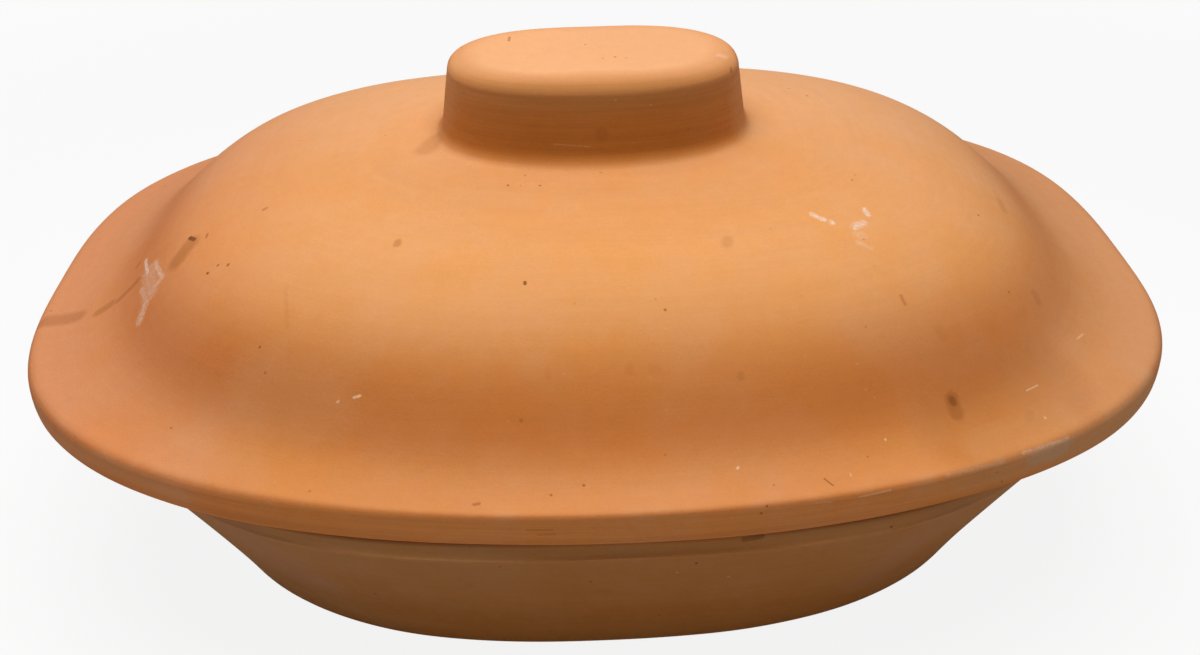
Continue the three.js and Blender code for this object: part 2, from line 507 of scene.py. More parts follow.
@dataclass(frozen=True)
class Base:
    """The tapering trough that the lid rests on.

    The neck's root is a soft bend, which takes neck_root_rise of the neck (less neck_root_fall at the
    ends) and neck_root_share of the ledge. Towards the ends the root is lifted and the ledge fades out.
    """

    height: float = 75.7
    shoulder: Oval = Oval(148.5, 124.6, 2.7, 2.7)
    end_taper: float = 24.0
    side_taper: float = 38.0
    foot_exponent: float = 2.44
    ledge: float = 1.2
    ledge_fade: Ramp = Ramp(0.1, 0.6)
    shoulder_edge: float = 1.6
    neck_height: float = 4.9
    neck_root_rise: float = 3.2
    neck_root_fall: float = 2.4
    neck_root_lift: float = 2.2
    neck_root_share: float = 0.65
    seat_edge: float = 1.5
    wall: float = 9.0
    throat_bottom: float = 68.5
    throat_round: float = 5.0
    foot_edge: float = 9.0
    floor_thickness: float = 10.0
    floor_round: float = 22.0

    SEED: ClassVar[int] = 11
    # Heights over which the painted top light grows.
    TOP_LIGHT_LEVELS: ClassVar[Ramp] = Ramp(40.0, 90.0)
    # Painted cool light on the left, and painted sheen at both ends, as a paler, cooler cast.
    LEFT_PAINTED_COOL_LIGHT: ClassVar[float] = 0.35
    END_PAINTED_SHEEN: ClassVar[float] = 1.4
    FRESH_SHARE: ClassVar[float] = 0.5

    def mouth(self, turns: Array) -> Array:
        """Distance from the axis to the mouth that the lid's lip drops into."""
        return self.shoulder.reach(turns) - self.ledge - self.wall

    def strips(self, turns: Array) -> list[Strip]:
        """The section: out over the floor, up the inside to the seat, and down the outside to the foot.

        Args:
            turns: directions round the axis.

        Returns:
            The bands in order, from the middle of the floor to the middle of the foot.
        """
        rings = BaseRings
        step = self.height - self.neck_height
        foot_oval = self.shoulder.inset(self.end_taper, self.side_taper, self.foot_exponent)
        shoulder_edge = at(self.shoulder.reach(turns), step)
        endwards = np.cos(turns) ** 2
        lift = self.neck_root_lift * endwards
        ledge = self.ledge * (1 - self.ledge_fade(endwards))
        root_run = self.neck_root_share * ledge[:, None]
        root_rise = (self.neck_root_rise - self.neck_root_fall * endwards)[:, None]
        bend_start = np.maximum(ledge[:, None] - root_run, lift[:, None] / 2)
        neck_root = at(shoulder_edge[:, 0] - ledge, step + lift)
        seat_outer = at(neck_root[:, 0], self.height)
        seat_inner = at(self.mouth(turns), self.height)
        throat = at(seat_inner[:, 0], self.throat_bottom)
        foot_edge = at(foot_oval.reach(turns), 0)
        wall_at_floor = foot_edge + (shoulder_edge - foot_edge) * (self.floor_thickness / step)
        floor_edge = at(wall_at_floor[:, 0] - self.wall, self.floor_thickness)
        floor_middle = at(np.zeros_like(turns), self.floor_thickness)
        foot_middle = at(np.zeros_like(turns), 0)

        floor_bend = corner(floor_middle, floor_edge, throat, self.floor_round, rings.FLOOR_BEND)
        throat_bend = corner(floor_edge, throat, seat_inner, self.throat_round, rings.THROAT)
        inner_arris = corner(throat, seat_inner, seat_outer, self.seat_edge, rings.SEAT_EDGE)
        outer_arris = corner(seat_inner, seat_outer, neck_root, self.seat_edge, rings.SEAT_EDGE)
        root = corner(seat_outer, neck_root, shoulder_edge, root_rise, rings.NECK_ROOT, root_run)
        shoulder = corner(
            neck_root, shoulder_edge, foot_edge, bend_start, rings.SHOULDER, self.shoulder_edge
        )
        foot_bend = corner(shoulder_edge, foot_edge, foot_middle, self.foot_edge, rings.FOOT_BEND)
        side = line(shoulder[-1], foot_bend[0], rings.SIDE)
        return [
            Strip(Zone.INNER, line(floor_middle, floor_bend[0], rings.FLOOR)),
            Strip(Zone.INNER, floor_bend),
            Strip(Zone.INNER, line(floor_bend[-1], throat_bend[0], rings.INSIDE)),
            Strip(Zone.INNER, throat_bend),
            Strip(Zone.RUBBED, inner_arris, arris=True),
            Strip(Zone.RUBBED, line(inner_arris[-1], outer_arris[0], rings.SEAT)),
            # The sponge share also lightens the colour: painted light on the neck, in shade under the
            # lid's rim, and a painted floor bounce towards the foot.
            Strip(Zone.SKIN, outer_arris, wiped_and_painted_light=(0.4, 0.5)),
            Strip(Zone.SKIN, line(outer_arris[-1], root[0], rings.NECK), wiped_and_painted_light=(0.5, 0.6)),
            Strip(Zone.SKIN, root[:-1], wiped_and_painted_light=(0.6, 0.8)),
            Strip(Zone.SKIN, shoulder, wiped_and_painted_light=(0.8, 0.15)),
            Strip(Zone.SKIN, side[:rings.UPPER_SIDE], wiped_and_painted_light=(0.1, 0.0)),
            Strip(Zone.SKIN, side[rings.UPPER_SIDE:], wiped_and_painted_light=(0.0, 0.45)),
            Strip(Zone.SKIN, foot_bend, wiped_and_painted_light=(0.45, 1.0)),
            Strip(Zone.RUBBED, line(foot_bend[-1], foot_middle, rings.FOOT)),
        ]

    def weather_and_light(self, points: Array) -> WeatheringAndPaintedLight:
        """Drier towards the rim, paler and cooler towards both ends, the left one more, and fresh at the
        foot's middle. The cast at the ends is painted sheen, and the left's extra is painted cool light.

        Args:
            points: positions in millimetres.

        Returns:
            The weathering at each point, with the share of the height as its main term.
        """
        leftwards = -points[..., 0] / self.shoulder.half_length
        upwards = points[..., 2] / self.height
        # Painted sheen at both ends and painted cool light on the left.
        ends = self.LEFT_PAINTED_COOL_LIGHT * leftwards + self.END_PAINTED_SHEEN * leftwards**2
        dry_and_painted_sheen = np.clip(upwards + ends - self.FRESH_SHARE, *DRY_AND_SHEEN_LIMITS)
        return WeatheringAndPaintedLight(dry_and_painted_sheen, np.zeros_like(dry_and_painted_sheen), np.ones_like(dry_and_painted_sheen))

    def build(self, turns: Array) -> bpy.types.Object:
        """Makes the base, standing on its foot.

        Args:
            turns: directions round the axis.

        Returns:
            The base's object.
        """
        poles = (self.floor_thickness, 0.0)
        relief = ClayRelief(self.SEED)
        strips = self.strips(turns)
        return Shell("base_clay", strips, poles, turns, relief, self.TOP_LIGHT_LEVELS, self.weather_and_light).build()

    @staticmethod
    def dress(piece: bpy.types.Object, viewpoint: Viewpoint) -> None:
        """Gives the base its finishes, with marks where the camera sees them."""
        lay_finishes(piece, BASE_SKIN_PAINTED_SHADE, put_marks(BASE_MARKS, piece, viewpoint))


@dataclass(frozen=True)
class DomeLine:
    """The dome's outer line in each direction, a cubic Bezier curve from the crown out to the rim."""

    controls: tuple[Array, Array, Array, Array]
    wall: float

    def point(self, share: Array) -> Array:
        """Points of the outer line."""
        return bezier(self.controls, share)

    def slope(self, share: Array) -> Array:
        """Unit directions along the line, outwards and down."""
        along = bezier([far - near for near, far in zip(self.controls, self.controls[1:])], share)
        return along / np.linalg.norm(along, axis=-1, keepdims=True)

    def vault(self, share: Array) -> Array:
        """Points of the vault, one wall in from the outer line, square to it."""
        along = self.slope(share)
        return self.point(share) + self.wall * np.stack([along[..., 1], -along[..., 0]], axis=-1)

    def share_at(self, trace: Callable[[Array], Array], radius: Array) -> Array:
        """Parameters at which a trace of the line is this far from the axis."""
        crown, rim = np.zeros_like(radius), np.ones_like(radius)
        return solve(lambda share: trace(share)[..., 0], radius, crown, rim)


def between(first: Array, last: Array, rings: int) -> Array:
    """Even steps from one parameter up to, but not including, another, in each direction."""
    return first + (last - first) * (np.arange(rings) / rings)[:, None]


@dataclass(frozen=True)
class LidWearAndLight:
    """How the lid has weathered, by ramps along and across it or above one of its levels.

    Drier and cooler are the tips of the grips, the back, the knob's top and, less, the low front of the
    grips and the rim's face; across the back this cast is painted sheen. Fresh are the front, the way out
    to both ends and the foot of the knob.
    """

    rim_top: float
    crown: float
    knob_top: float
    level: float = 0.3
    dry_and_sheen_weight: float = 0.65
    tips: Ramp = Ramp(132.0, 170.0)
    # Painted sheen across the back of the lid.
    back: Ramp = Ramp(-55.0, 62.0)
    knob_roll: Ramp = Ramp(-12.0, -3.0)
    grip_drying: float = 0.2
    grip_middle: float = 10.0
    grip_ends: Ramp = Ramp(85.0, 125.0)
    grip_front: Ramp = Ramp(20.0, 70.0)
    below_dome: Ramp = Ramp(-20.0, -6.0)
    rim_face: Ramp = Ramp(104.0, 122.0, 0.36)
    front: Ramp = Ramp(20.0, 90.0, 0.15)
    near_rim: Ramp = Ramp(80.0, 100.0, 0.28)
    near_ends: Ramp = Ramp(60.0, 120.0, 0.08)
    knob_foot: Ramp = Ramp(-1.5, 1.0, 0.5)
    knob_margins: Range = (4.0, 2.0)
    dome_ends: Ramp = Ramp(50.0, 120.0)
    above_flange: Ramp = Ramp(6.0, 18.0)
    left_flush: Ramp = Ramp(70.0, 140.0)
    upper_face: Ramp = Ramp(-2.5, -0.5)
    flange_flush: Ramp = Ramp(60.0, 95.0, 0.25)
    top_light_loss: float = 0.16
    top_light_lean: float = 0.06

    def dryness_and_sheen(self, points: Array) -> Array:
        """The dried share of the clay, with painted sheen across the back: a level, plus what has dried,
        less what has stayed fresh.

        Args:
            points: positions in millimetres.

        Returns:
            Dryness at each point, a little below 0 where the clay is freshest.
        """
        along, across, height = np.moveaxis(points, -1, 0)
        # The back's share is painted sheen.
        ends_and_back = np.maximum(self.tips(np.abs(along)), self.back(across))
        dry_and_painted_sheen = np.maximum(ends_and_back, self.knob_roll(height - self.knob_top))
        grip_ends = self.grip_ends(np.abs(along - self.grip_middle))
        grips = self.below_dome(self.rim_top - height) * grip_ends * self.grip_front(-across)
        dried = self.level + self.dry_and_sheen_weight * dry_and_painted_sheen + self.grip_drying * grips
        dried += self.rim_face(-across) * (1 - grips)

        front = self.front(-across) + self.near_rim(-across) + self.near_ends(np.abs(along))
        above, below = self.knob_margins
        up_the_knob = Ramp(self.crown + above, self.knob_top - below)
        knob_side = self.knob_foot(height - self.crown) * (1 - up_the_knob(height))
        fresh = front * (1 - np.maximum(dry_and_painted_sheen, grips)) + knob_side
        return np.clip(dried - fresh, *DRY_AND_SHEEN_LIMITS)

    def weather_and_light(self, points: Array) -> WeatheringAndPaintedLight:
        """Less painted top light on the ends of the dome, and a flush over the left end and the front of
        the flange.

        Args:
            points: positions in millimetres.

        Returns:
            The weathering at each point.
        """
        along, across, height = np.moveaxis(points, -1, 0)
        ends = self.dome_ends(np.abs(along))
        domed = self.above_flange(height - self.rim_top)
        flange = self.upper_face(height - self.rim_top) * (1 - domed) * (1 - ends)
        flush = np.maximum(self.left_flush(-along), flange * self.flange_flush(-across))
        # Painted top light thins on the ends of the dome, more on the left.
        painted_top_light = 1 - ends * domed * (self.top_light_loss - self.top_light_lean * np.sign(along))
        return WeatheringAndPaintedLight(self.dryness_and_sheen(points), flush, painted_top_light)


class LidRings:
    """Rings in the lid's bands. The roll begins the knob's bend; painted shade begins the dome."""

    KNOB_TOP = 12
    KNOB_BEND = 17
    KNOB_ROLL = 10
    KNOB_SIDE = 12
    KNOB_FILLET = 9
    DOME = 60
    # Rings of dome, round the knob's foot, that carry painted shade.
    PAINTED_SHADE_DOME = 12
    RIM_BEND = 13
    RIM_FACE = 9
    RIM_FOOT = 11
    UNDER_RIM = 7
    LIP_ROOT = 4
    LIP_EDGE = 5
    VAULT = 40
    HOLLOW_MOUTH = 8
    HOLLOW_SIDE = 4
    HOLLOW_BEND = 8
    CEILING = 5


@dataclass(frozen=True)
class Lid:
    """The domed cover: end grips, hollow knob, rim, and the lip that drops into the base.

    The round of the rim's upper edge grows to rim_end_edge at the ends.
    """

    rim: Oval = Oval(172.5, 126.0, 2.06, 3.0)
    rim_bottom: float = 76.0
    rim_height: float = 11.0
    rim_upper_edge: float = 1.8
    rim_end_edge: float = 5.0
    rim_lower_edge: float = 4.2
    rim_foot_edge: float = 1.8
    crown_rise: float = 48.7
    crown_end_inset: float = 17.0
    crown_side_inset: float = 20.5
    crown_exponent: float = 3.14
    end_flare: float = 52.0
    side_flare: float = 29.8
    flare_exponent: float = 2.42
    flare_slope: float = 5.3
    wall: float = 9.0
    knob: Oval = Oval(42.9, 25.7, 2.39, 2.39)
    knob_height: float = 22.3
    knob_draft: float = 3.5
    knob_upper_edge: float = 10.0
    knob_side_edge: float = 4.5
    knob_fillet: float = 3.6
    knob_wall: float = 9.0
    hollow_mouth_edge: float = 5.0
    hollow_ceiling_edge: float = 6.0
    lip_depth: float = 6.0
    lip_wall: float = 7.0
    lip_edge: float = 2.0
    lip_root_round: float = 1.0
    lip_clearance: float = 1.5

    SEED: ClassVar[int] = 5
    # Share of the crown's rise over which the painted top light grows.
    TOP_LIGHT_RISE: ClassVar[float] = 0.6

    @property
    def rim_top(self) -> float:
        """Height of the rim's upper face."""
        return self.rim_bottom + self.rim_height

    @property
    def crown(self) -> float:
        """Height of the dome's middle."""
        return self.rim_top + self.crown_rise

    @property
    def knob_top(self) -> float:
        """Height of the knob's flat top."""
        return self.crown + self.knob_height

    @property
    def ceiling(self) -> float:
        """Height of the hollow inside the knob."""
        return self.knob_top - self.knob_wall

    def dome(self, turns: Array) -> DomeLine:
        """The dome's line, whose last control but one puts the flare at its slope above the rim.

        Args:
            turns: directions round the axis.

        Returns:
            The line, from the crown to the rim's upper edge.
        """
        end = self.rim.reach(turns) - self.rim_upper_edge
        crown_oval = self.rim.inset(self.crown_end_inset, self.crown_side_inset, self.crown_exponent)
        flare = self.rim.inset(self.end_flare, self.side_flare, self.flare_exponent).reach(turns)
        flare_height = self.rim_top + (end - flare) * np.tan(np.radians(self.flare_slope))
        controls = (
            at(np.zeros_like(turns), self.crown),
            at(crown_oval.reach(turns), self.crown),
            at(flare, flare_height),
            at(end, self.rim_top),
        )
        return DomeLine(controls, self.wall)

    def lip_root(self, turns: Array, base: Base) -> Array:
        """Where the lip leaves the rim's flat underside, clear of the base's mouth."""
        return at(base.mouth(turns) - self.lip_clearance, self.rim_bottom)

    def upper_strips(self, turns: Array, dome: DomeLine, base: Base) -> list[Strip]:
        """The outside: over the knob, down the dome and round the rim to its foot.

        Args:
            turns: directions round the axis.
            dome: the dome's line.
            base: the base, whose mouth the lip drops into.

        Returns:
            The bands in order, from the knob's middle to the rim's lower edge.
        """
        rings = LidRings
        knob_middle = at(np.zeros_like(turns), self.knob_top)
        knob_edge = at(self.knob.reach(turns), self.knob_top)
        foot_reach = knob_edge[:, 0] + self.knob_draft
        knob_foot = dome.point(dome.share_at(dome.point, foot_reach))
        dome_start = dome.share_at(dome.point, foot_reach + self.knob_fillet)
        rim_reach = self.rim.reach(turns)
        rim_round = self.rim_upper_edge + (self.rim_end_edge - self.rim_upper_edge) * np.cos(turns) ** 2
        dome_last = dome.share_at(dome.point, rim_reach - rim_round)
        dome_points = dome.point(between(dome_start, dome_last, rings.DOME))
        dome_end = dome.point(dome_last)

        slope = dome.slope(np.ones_like(turns))
        rim_edge = at(rim_reach, self.rim_top + self.rim_upper_edge * slope[:, 1] / slope[:, 0])
        rim_foot = at(rim_reach, self.rim_bottom)
        lip_root = self.lip_root(turns, base)

        knob_bend = corner(
            knob_middle, knob_edge, knob_foot, self.knob_upper_edge, rings.KNOB_BEND, self.knob_side_edge
        )
        fillet = corner(knob_edge, knob_foot, dome_points[0], self.knob_fillet, rings.KNOB_FILLET)
        rim_bend = corner(dome_end, rim_edge, rim_foot, rim_round[:, None], rings.RIM_BEND)
        foot_bend = corner(
            rim_edge, rim_foot, lip_root, self.rim_lower_edge, rings.RIM_FOOT, self.rim_foot_edge
        )
        knob_roll, knob_turn = knob_bend[:rings.KNOB_ROLL], knob_bend[rings.KNOB_ROLL:]
        knob_side = line(knob_bend[-1], fillet[0], rings.KNOB_SIDE)
        near_dome, far_dome = dome_points[:rings.PAINTED_SHADE_DOME], dome_points[rings.PAINTED_SHADE_DOME:]
        # The knob's bend and side, the dome round its foot and the rim's foot carry painted shade; the
        # sponge share on the rim's bend and face also lightens them, painted light.
        return [
            Strip(Zone.SKIN, line(knob_middle, knob_bend[0], rings.KNOB_TOP)),
            Strip(Zone.SKIN, knob_roll, wiped_and_painted_light=(0.0, 0.5), painted_shade=(0.0, 0.9)),
            Strip(Zone.SKIN, knob_turn, wiped_and_painted_light=(0.5, 1.0), painted_shade=(0.9, 1.0)),
            Strip(Zone.SKIN, knob_side, wiped_and_painted_light=(1.0, 1.0), painted_shade=(1.0, 1.0)),
            Strip(Zone.SKIN, fillet[:-1], wiped_and_painted_light=(1.0, 0.15), painted_shade=(1.0, 0.4)),
            Strip(Zone.SKIN, near_dome, wiped_and_painted_light=(0.1, 0.0), painted_shade=(0.36, 0.0)),
            Strip(Zone.SKIN, far_dome),
            Strip(Zone.SKIN, rim_bend, wiped_and_painted_light=(0.0, 1.0), arris=True),
            Strip(Zone.SKIN, line(rim_bend[-1], foot_bend[0], rings.RIM_FACE), wiped_and_painted_light=(1.0, 1.0)),
            Strip(Zone.SKIN, foot_bend, wiped_and_painted_light=(1.0, 0.7), painted_shade=(0.0, 0.4)),
        ]

    def under_strips(self, turns: Array, dome: DomeLine, base: Base) -> list[Strip]:
        """The underside: in to the lip, round it, up the vault and into the hollow knob.

        Args:
            turns: directions round the axis.
            dome: the dome's line.
            base: the base, whose mouth the lip drops into.

        Returns:
            The bands in order, from the rim's foot to the middle of the hollow's ceiling.
        """
        rings = LidRings
        rim_foot = at(self.rim.reach(turns), self.rim_bottom)
        lip_root = self.lip_root(turns, base)
        lip_bottom = self.rim_bottom - self.lip_depth
        lip_outer = at(lip_root[:, 0], lip_bottom)
        lip_inner = at(lip_root[:, 0] - self.lip_wall, lip_bottom)

        knob_reach = self.knob.reach(turns)
        mouth_reach = knob_reach + self.knob_draft - self.knob_wall
        hollow_edge = at(knob_reach - self.knob_wall, self.ceiling)
        hollow_mouth = dome.vault(dome.share_at(dome.vault, mouth_reach))
        vault_start = dome.share_at(dome.vault, lip_inner[:, 0])
        vault_end = dome.share_at(dome.vault, mouth_reach + self.hollow_mouth_edge)
        vault = dome.vault(between(vault_start, vault_end, rings.VAULT))
        middle = at(np.zeros_like(turns), self.ceiling)

        root = corner(rim_foot, lip_root, lip_outer, self.lip_root_round, rings.LIP_ROOT)
        outer_arris = corner(lip_root, lip_outer, lip_inner, self.lip_edge, rings.LIP_EDGE)
        inner_arris = corner(lip_outer, lip_inner, vault[0], self.lip_edge, rings.LIP_EDGE)
        mouth_bend = corner(
            vault[-1], hollow_mouth, hollow_edge, self.hollow_mouth_edge, rings.HOLLOW_MOUTH
        )
        bend = corner(hollow_mouth, hollow_edge, middle, self.hollow_ceiling_edge, rings.HOLLOW_BEND)
        return [
            Strip(Zone.RUBBED, line(rim_foot - at(self.rim_foot_edge, 0.0), root[0], rings.UNDER_RIM)),
            Strip(Zone.RUBBED, root),
            Strip(Zone.RUBBED, outer_arris, arris=True),
            Strip(Zone.INNER, inner_arris, arris=True),
            Strip(Zone.INNER, vault),
            Strip(Zone.INNER, mouth_bend),
            Strip(Zone.INNER, line(mouth_bend[-1], bend[0], rings.HOLLOW_SIDE)),
            Strip(Zone.INNER, bend),
            Strip(Zone.INNER, line(bend[-1], middle, rings.CEILING)),
        ]

    def build(self, turns: Array, base: Base) -> bpy.types.Object:
        """Makes the lid, seated on the base.

        Args:
            turns: directions round the axis.
            base: the base.

        Returns:
            The lid's object.
        """
        dome = self.dome(turns)
        strips = self.upper_strips(turns, dome, base) + self.under_strips(turns, dome, base)
        poles = (self.knob_top, self.ceiling)
        levels = Ramp(self.rim_top, self.rim_top + self.TOP_LIGHT_RISE * self.crown_rise)
        wear_and_light = LidWearAndLight(self.rim_top, self.crown, self.knob_top)
        return Shell("lid_clay", strips, poles, turns, ClayRelief(self.SEED), levels, wear_and_light.weather_and_light).build()

    @staticmethod
    def dress(piece: bpy.types.Object, viewpoint: Viewpoint) -> None:
        """Gives the lid its finishes, with marks where the camera sees them."""
        lay_finishes(piece, LID_SKIN, put_marks(LID_MARKS, piece, viewpoint))


@dataclass(frozen=True)
class Viewpoint:
    """The camera's place and lens, which frame the roaster as the photograph does.

    Attributes:
        azimuth: turn round the roaster from straight in front, in degrees.
        elevation: angle above the table, in degrees.
        roll: turn of the picture, in degrees.
        distance: from the target, in millimetres.
        focal: focal length in pixels of the whole picture.
        target: the point looked at, in millimetres.
    """

    azimuth: float = -2.19
    elevation: float = 32.767
    roll: float = -0.718
    distance: float = 441.4
    focal: float = 1315.77
    target: Triple = (1.235, 0.0, 60.131)

    def axes(self) -> Array:
        """The camera's own directions.

        Returns:
            Right, up and back, as rows.
        """
        turn, rise, roll = np.radians([self.azimuth, self.elevation, self.roll])
        back = np.array([np.sin(turn) * np.cos(rise), -np.cos(turn) * np.cos(rise), np.sin(rise)])
        level = np.cross([0.0, 0.0, 1.0], back)
        level /= np.linalg.norm(level)
        upright = np.cross(back, level)
        right = level * np.cos(roll) + upright * np.sin(roll)
        up = upright * np.cos(roll) - level * np.sin(roll)
        return np.stack([right, up, back])

    def place(self) -> Array:
        """Where the camera stands, in metres."""
        return (np.array(self.target) + self.distance * self.axes()[2]) * MM

    def ray(self, pixel: Pixel) -> Vector:
        """The direction in which the camera sees a pixel of the whole picture."""
        right, up = pixel[0] - IMAGE_WIDTH / 2, IMAGE_HEIGHT / 2 - pixel[1]
        return Vector(np.array([right / self.focal, up / self.focal, -1.0]) @ self.axes())

    def build(self) -> None:
        """Makes the camera and sets it as the scene's."""
        data = bpy.data.cameras.new("camera")
        data.sensor_width = SENSOR_WIDTH
        data.lens = SENSOR_WIDTH * self.focal / IMAGE_WIDTH
        camera = link("camera", data)
        turned = Matrix(self.axes().T.tolist()).to_4x4()
        camera.matrix_world = Matrix.Translation(Vector(self.place())) @ turned
        bpy.context.scene.camera = camera


@dataclass(frozen=True)
class Noise:
    """Fractal noise, about 0.5 on average.

    Attributes:
        scale: features in a metre.
        detail: octaves.
        rough: strength of each finer octave.
        spread: the range that is smoothly spread over 0 to 1, where it isn't left as it is.
    """

    scale: float
    detail: float = 3.0
    rough: float = 0.55
    spread: Range | None = None


@dataclass(frozen=True)
class Specks:
    """Scattered specks.

    Attributes:
        scale: cells in a metre, each with one speck.
        border: where in a cell a speck ends and where it is full, from the middle.
        groups: noise that lets specks show.
    """

    scale: float
    border: Range
    groups: Noise


class NodeSheet:
    """The nodes of one shader tree, added and wired by short calls."""

    def __init__(self, tree: bpy.types.NodeTree) -> None:
        """Starts on an empty tree."""
        self.tree = tree

    def feed(self, socket: Socket, value: Feed) -> None:
        """Links a socket to an output, or gives it a plain value.

        Args:
            socket: the input.
            value: an output, a number, a colour or a vector.
        """
        if isinstance(value, bpy.types.NodeSocket):
            self.tree.links.new(value, socket)
        elif socket.type == "RGBA":
            socket.default_value = (*value, 1.0)
        else:
            socket.default_value = value

    def node(self, kind: str, feeds: dict[str, Feed] | None = None, **settings: object) -> bpy.types.Node:
        """Adds a node.

        Args:
            kind: the node's type name.
            feeds: values or outputs for its named inputs.
            settings: properties to set first.

        Returns:
            The node.
        """
        made = self.tree.nodes.new(kind)
        for name, value in settings.items():
            setattr(made, name, value)
        for name, value in (feeds or {}).items():
            self.feed(made.inputs[name], value)
        return made

    def wire(self, made: bpy.types.Node, *operands: Feed) -> Socket:
        """Feeds a node's open inputs in order.

        Args:
            made: the node.
            operands: values or outputs, as many as are needed.

        Returns:
            The node's first open output.
        """
        sockets = [socket for socket in made.inputs if socket.enabled]
        for socket, operand in zip(sockets, operands):
            self.feed(socket, operand)
        return next(socket for socket in made.outputs if socket.enabled)

    def math(self, operation: str, *operands: Feed) -> Socket:
        """A Math node's result."""
        return self.wire(self.node("ShaderNodeMath", operation=operation), *operands)

    def vector(self, operation: str, *operands: Feed) -> Socket:
        """A Vector Math node's result, a number for a length or a dot product."""
        return self.wire(self.node("ShaderNodeVectorMath", operation=operation), *operands)

    def span(self, value: Feed, low: Feed, high: Feed, start: float = 0.0, end: float = 1.0) -> Socket:
        """Carries a value smoothly from start at low to end at high, and holds it level beyond them."""
        made = self.node("ShaderNodeMapRange", interpolation_type="SMOOTHSTEP")
        return self.wire(made, value, low, high, start, end)

    def noise(self, place: Socket, noise: Noise) -> Socket:
        """Draws noise.

        Args:
            place: coordinates, in metres where they aren't stretched.
            noise: the noise.

        Returns:
            Its values, spread out if the noise asks for it.
        """
        feeds = {"Vector": place, "Scale": noise.scale, "Detail": noise.detail, "Roughness": noise.rough}
        drawn = self.node("ShaderNodeTexNoise", feeds).outputs["Fac"]
        return self.span(drawn, *noise.spread) if noise.spread else drawn

    def specks(self, place: Socket, specks: Specks) -> Socket:
        """Draws specks in the middles of scattered cells, where their noise lets them show.

        Args:
            place: coordinates, in metres.
            specks: the specks.

        Returns:
            A mask of the specks.
        """
        cells = self.node("ShaderNodeTexVoronoi", {"Vector": place, "Scale": specks.scale})
        dots = self.span(cells.outputs["Distance"], *specks.border)
        return self.math("MULTIPLY", dots, self.noise(place, specks.groups))

    def stretch(self, place: Socket, scale: Triple = EVEN, shift: float = 0.0) -> Socket:
        """Coordinates scaled along each axis and moved, so that a pattern is drawn out or redrawn."""
        feeds = {"Vector": place, "Scale": scale, "Location": (shift, shift, shift)}
        return self.node("ShaderNodeMapping", feeds).outputs["Vector"]

    def swing(self, pattern: Socket, amount: Feed) -> Socket:
        """A factor about 1 that follows a pattern about 0.5, by up to half the amount each way."""
        return self.math("MULTIPLY_ADD", self.math("SUBTRACT", pattern, 0.5), amount, 1.0)

    def blend(self, share: Feed, first: Feed, second: Feed) -> Socket:
        """Colour that goes from the first to the second as the share rises."""
        return self.wire(self.node("ShaderNodeMix", data_type="RGBA"), share, first, second)

    def cover(self, colour: Feed, over: Feed, mask: Socket, amount: float) -> Socket:
        """Colour that another covers by an amount, where a mask lets it."""
        return self.blend(self.math("MULTIPLY", mask, amount), colour, over)

    def mix(self, share: Feed, first: Socket, second: Socket) -> Socket:
        """Shader that goes from the first to the second as the share rises."""
        return self.wire(self.node("ShaderNodeMixShader"), share, first, second)

    def attribute(self, name: str) -> Socket:
        """A value that the mesh carries."""
        return self.node("ShaderNodeAttribute", attribute_name=name).outputs["Fac"]

    def effect(self, effect: Effect, feeds: dict[str, Feed]) -> bpy.types.NodeOutputs:
        """An effect's outputs, from its group placed on this sheet."""
        return self.node("ShaderNodeGroup", feeds, node_tree=effect.tree()).outputs


def blank_sheet(block: bpy.types.Material | bpy.types.World) -> NodeSheet:
    """Turns on the nodes of a material or a world, and empties them.

    Args:
        block: the material or the world.

    Returns:
        The sheet to wire it on.
    """
    block.use_nodes = True
    block.node_tree.nodes.clear()
    return NodeSheet(block.node_tree)


class Port(Enum):
    """Kinds of group socket."""

    VALUE = "NodeSocketFloat"
    PLACE = "NodeSocketVector"


class Effect(ABC):
    """A surface effect that several finishes share, kept as a shader node group."""

    name: ClassVar[str]
    inputs: ClassVar[dict[str, Port]] = {"Place": Port.PLACE}
    outputs: ClassVar[tuple[str, ...]] = ("Mask",)

    @abstractmethod
    def draw(self, sheet: NodeSheet, given: bpy.types.NodeOutputs) -> dict[str, Socket]:
        """Draws the effect.

        Args:
            sheet: the group's nodes.
            given: the group's inputs.

        Returns:
            A socket for each named output.
        """

    def tree(self) -> bpy.types.NodeTree:
        """The effect's group, made the first time that it is asked for.

        Returns:
            The group, with the effect's inputs and outputs.
        """
        tree = bpy.data.node_groups.get(self.name)
        if tree is not None:
            return tree
        tree = bpy.data.node_groups.new(self.name, "ShaderNodeTree")
        for name, port in self.inputs.items():
            tree.interface.new_socket(name, in_out="INPUT", socket_type=port.value)
        for name in self.outputs:
            tree.interface.new_socket(name, in_out="OUTPUT", socket_type=Port.VALUE.value)
        sheet = NodeSheet(tree)
        drawn = self.draw(sheet, sheet.node("NodeGroupInput").outputs)
        sheet.node("NodeGroupOutput", drawn)
        return tree


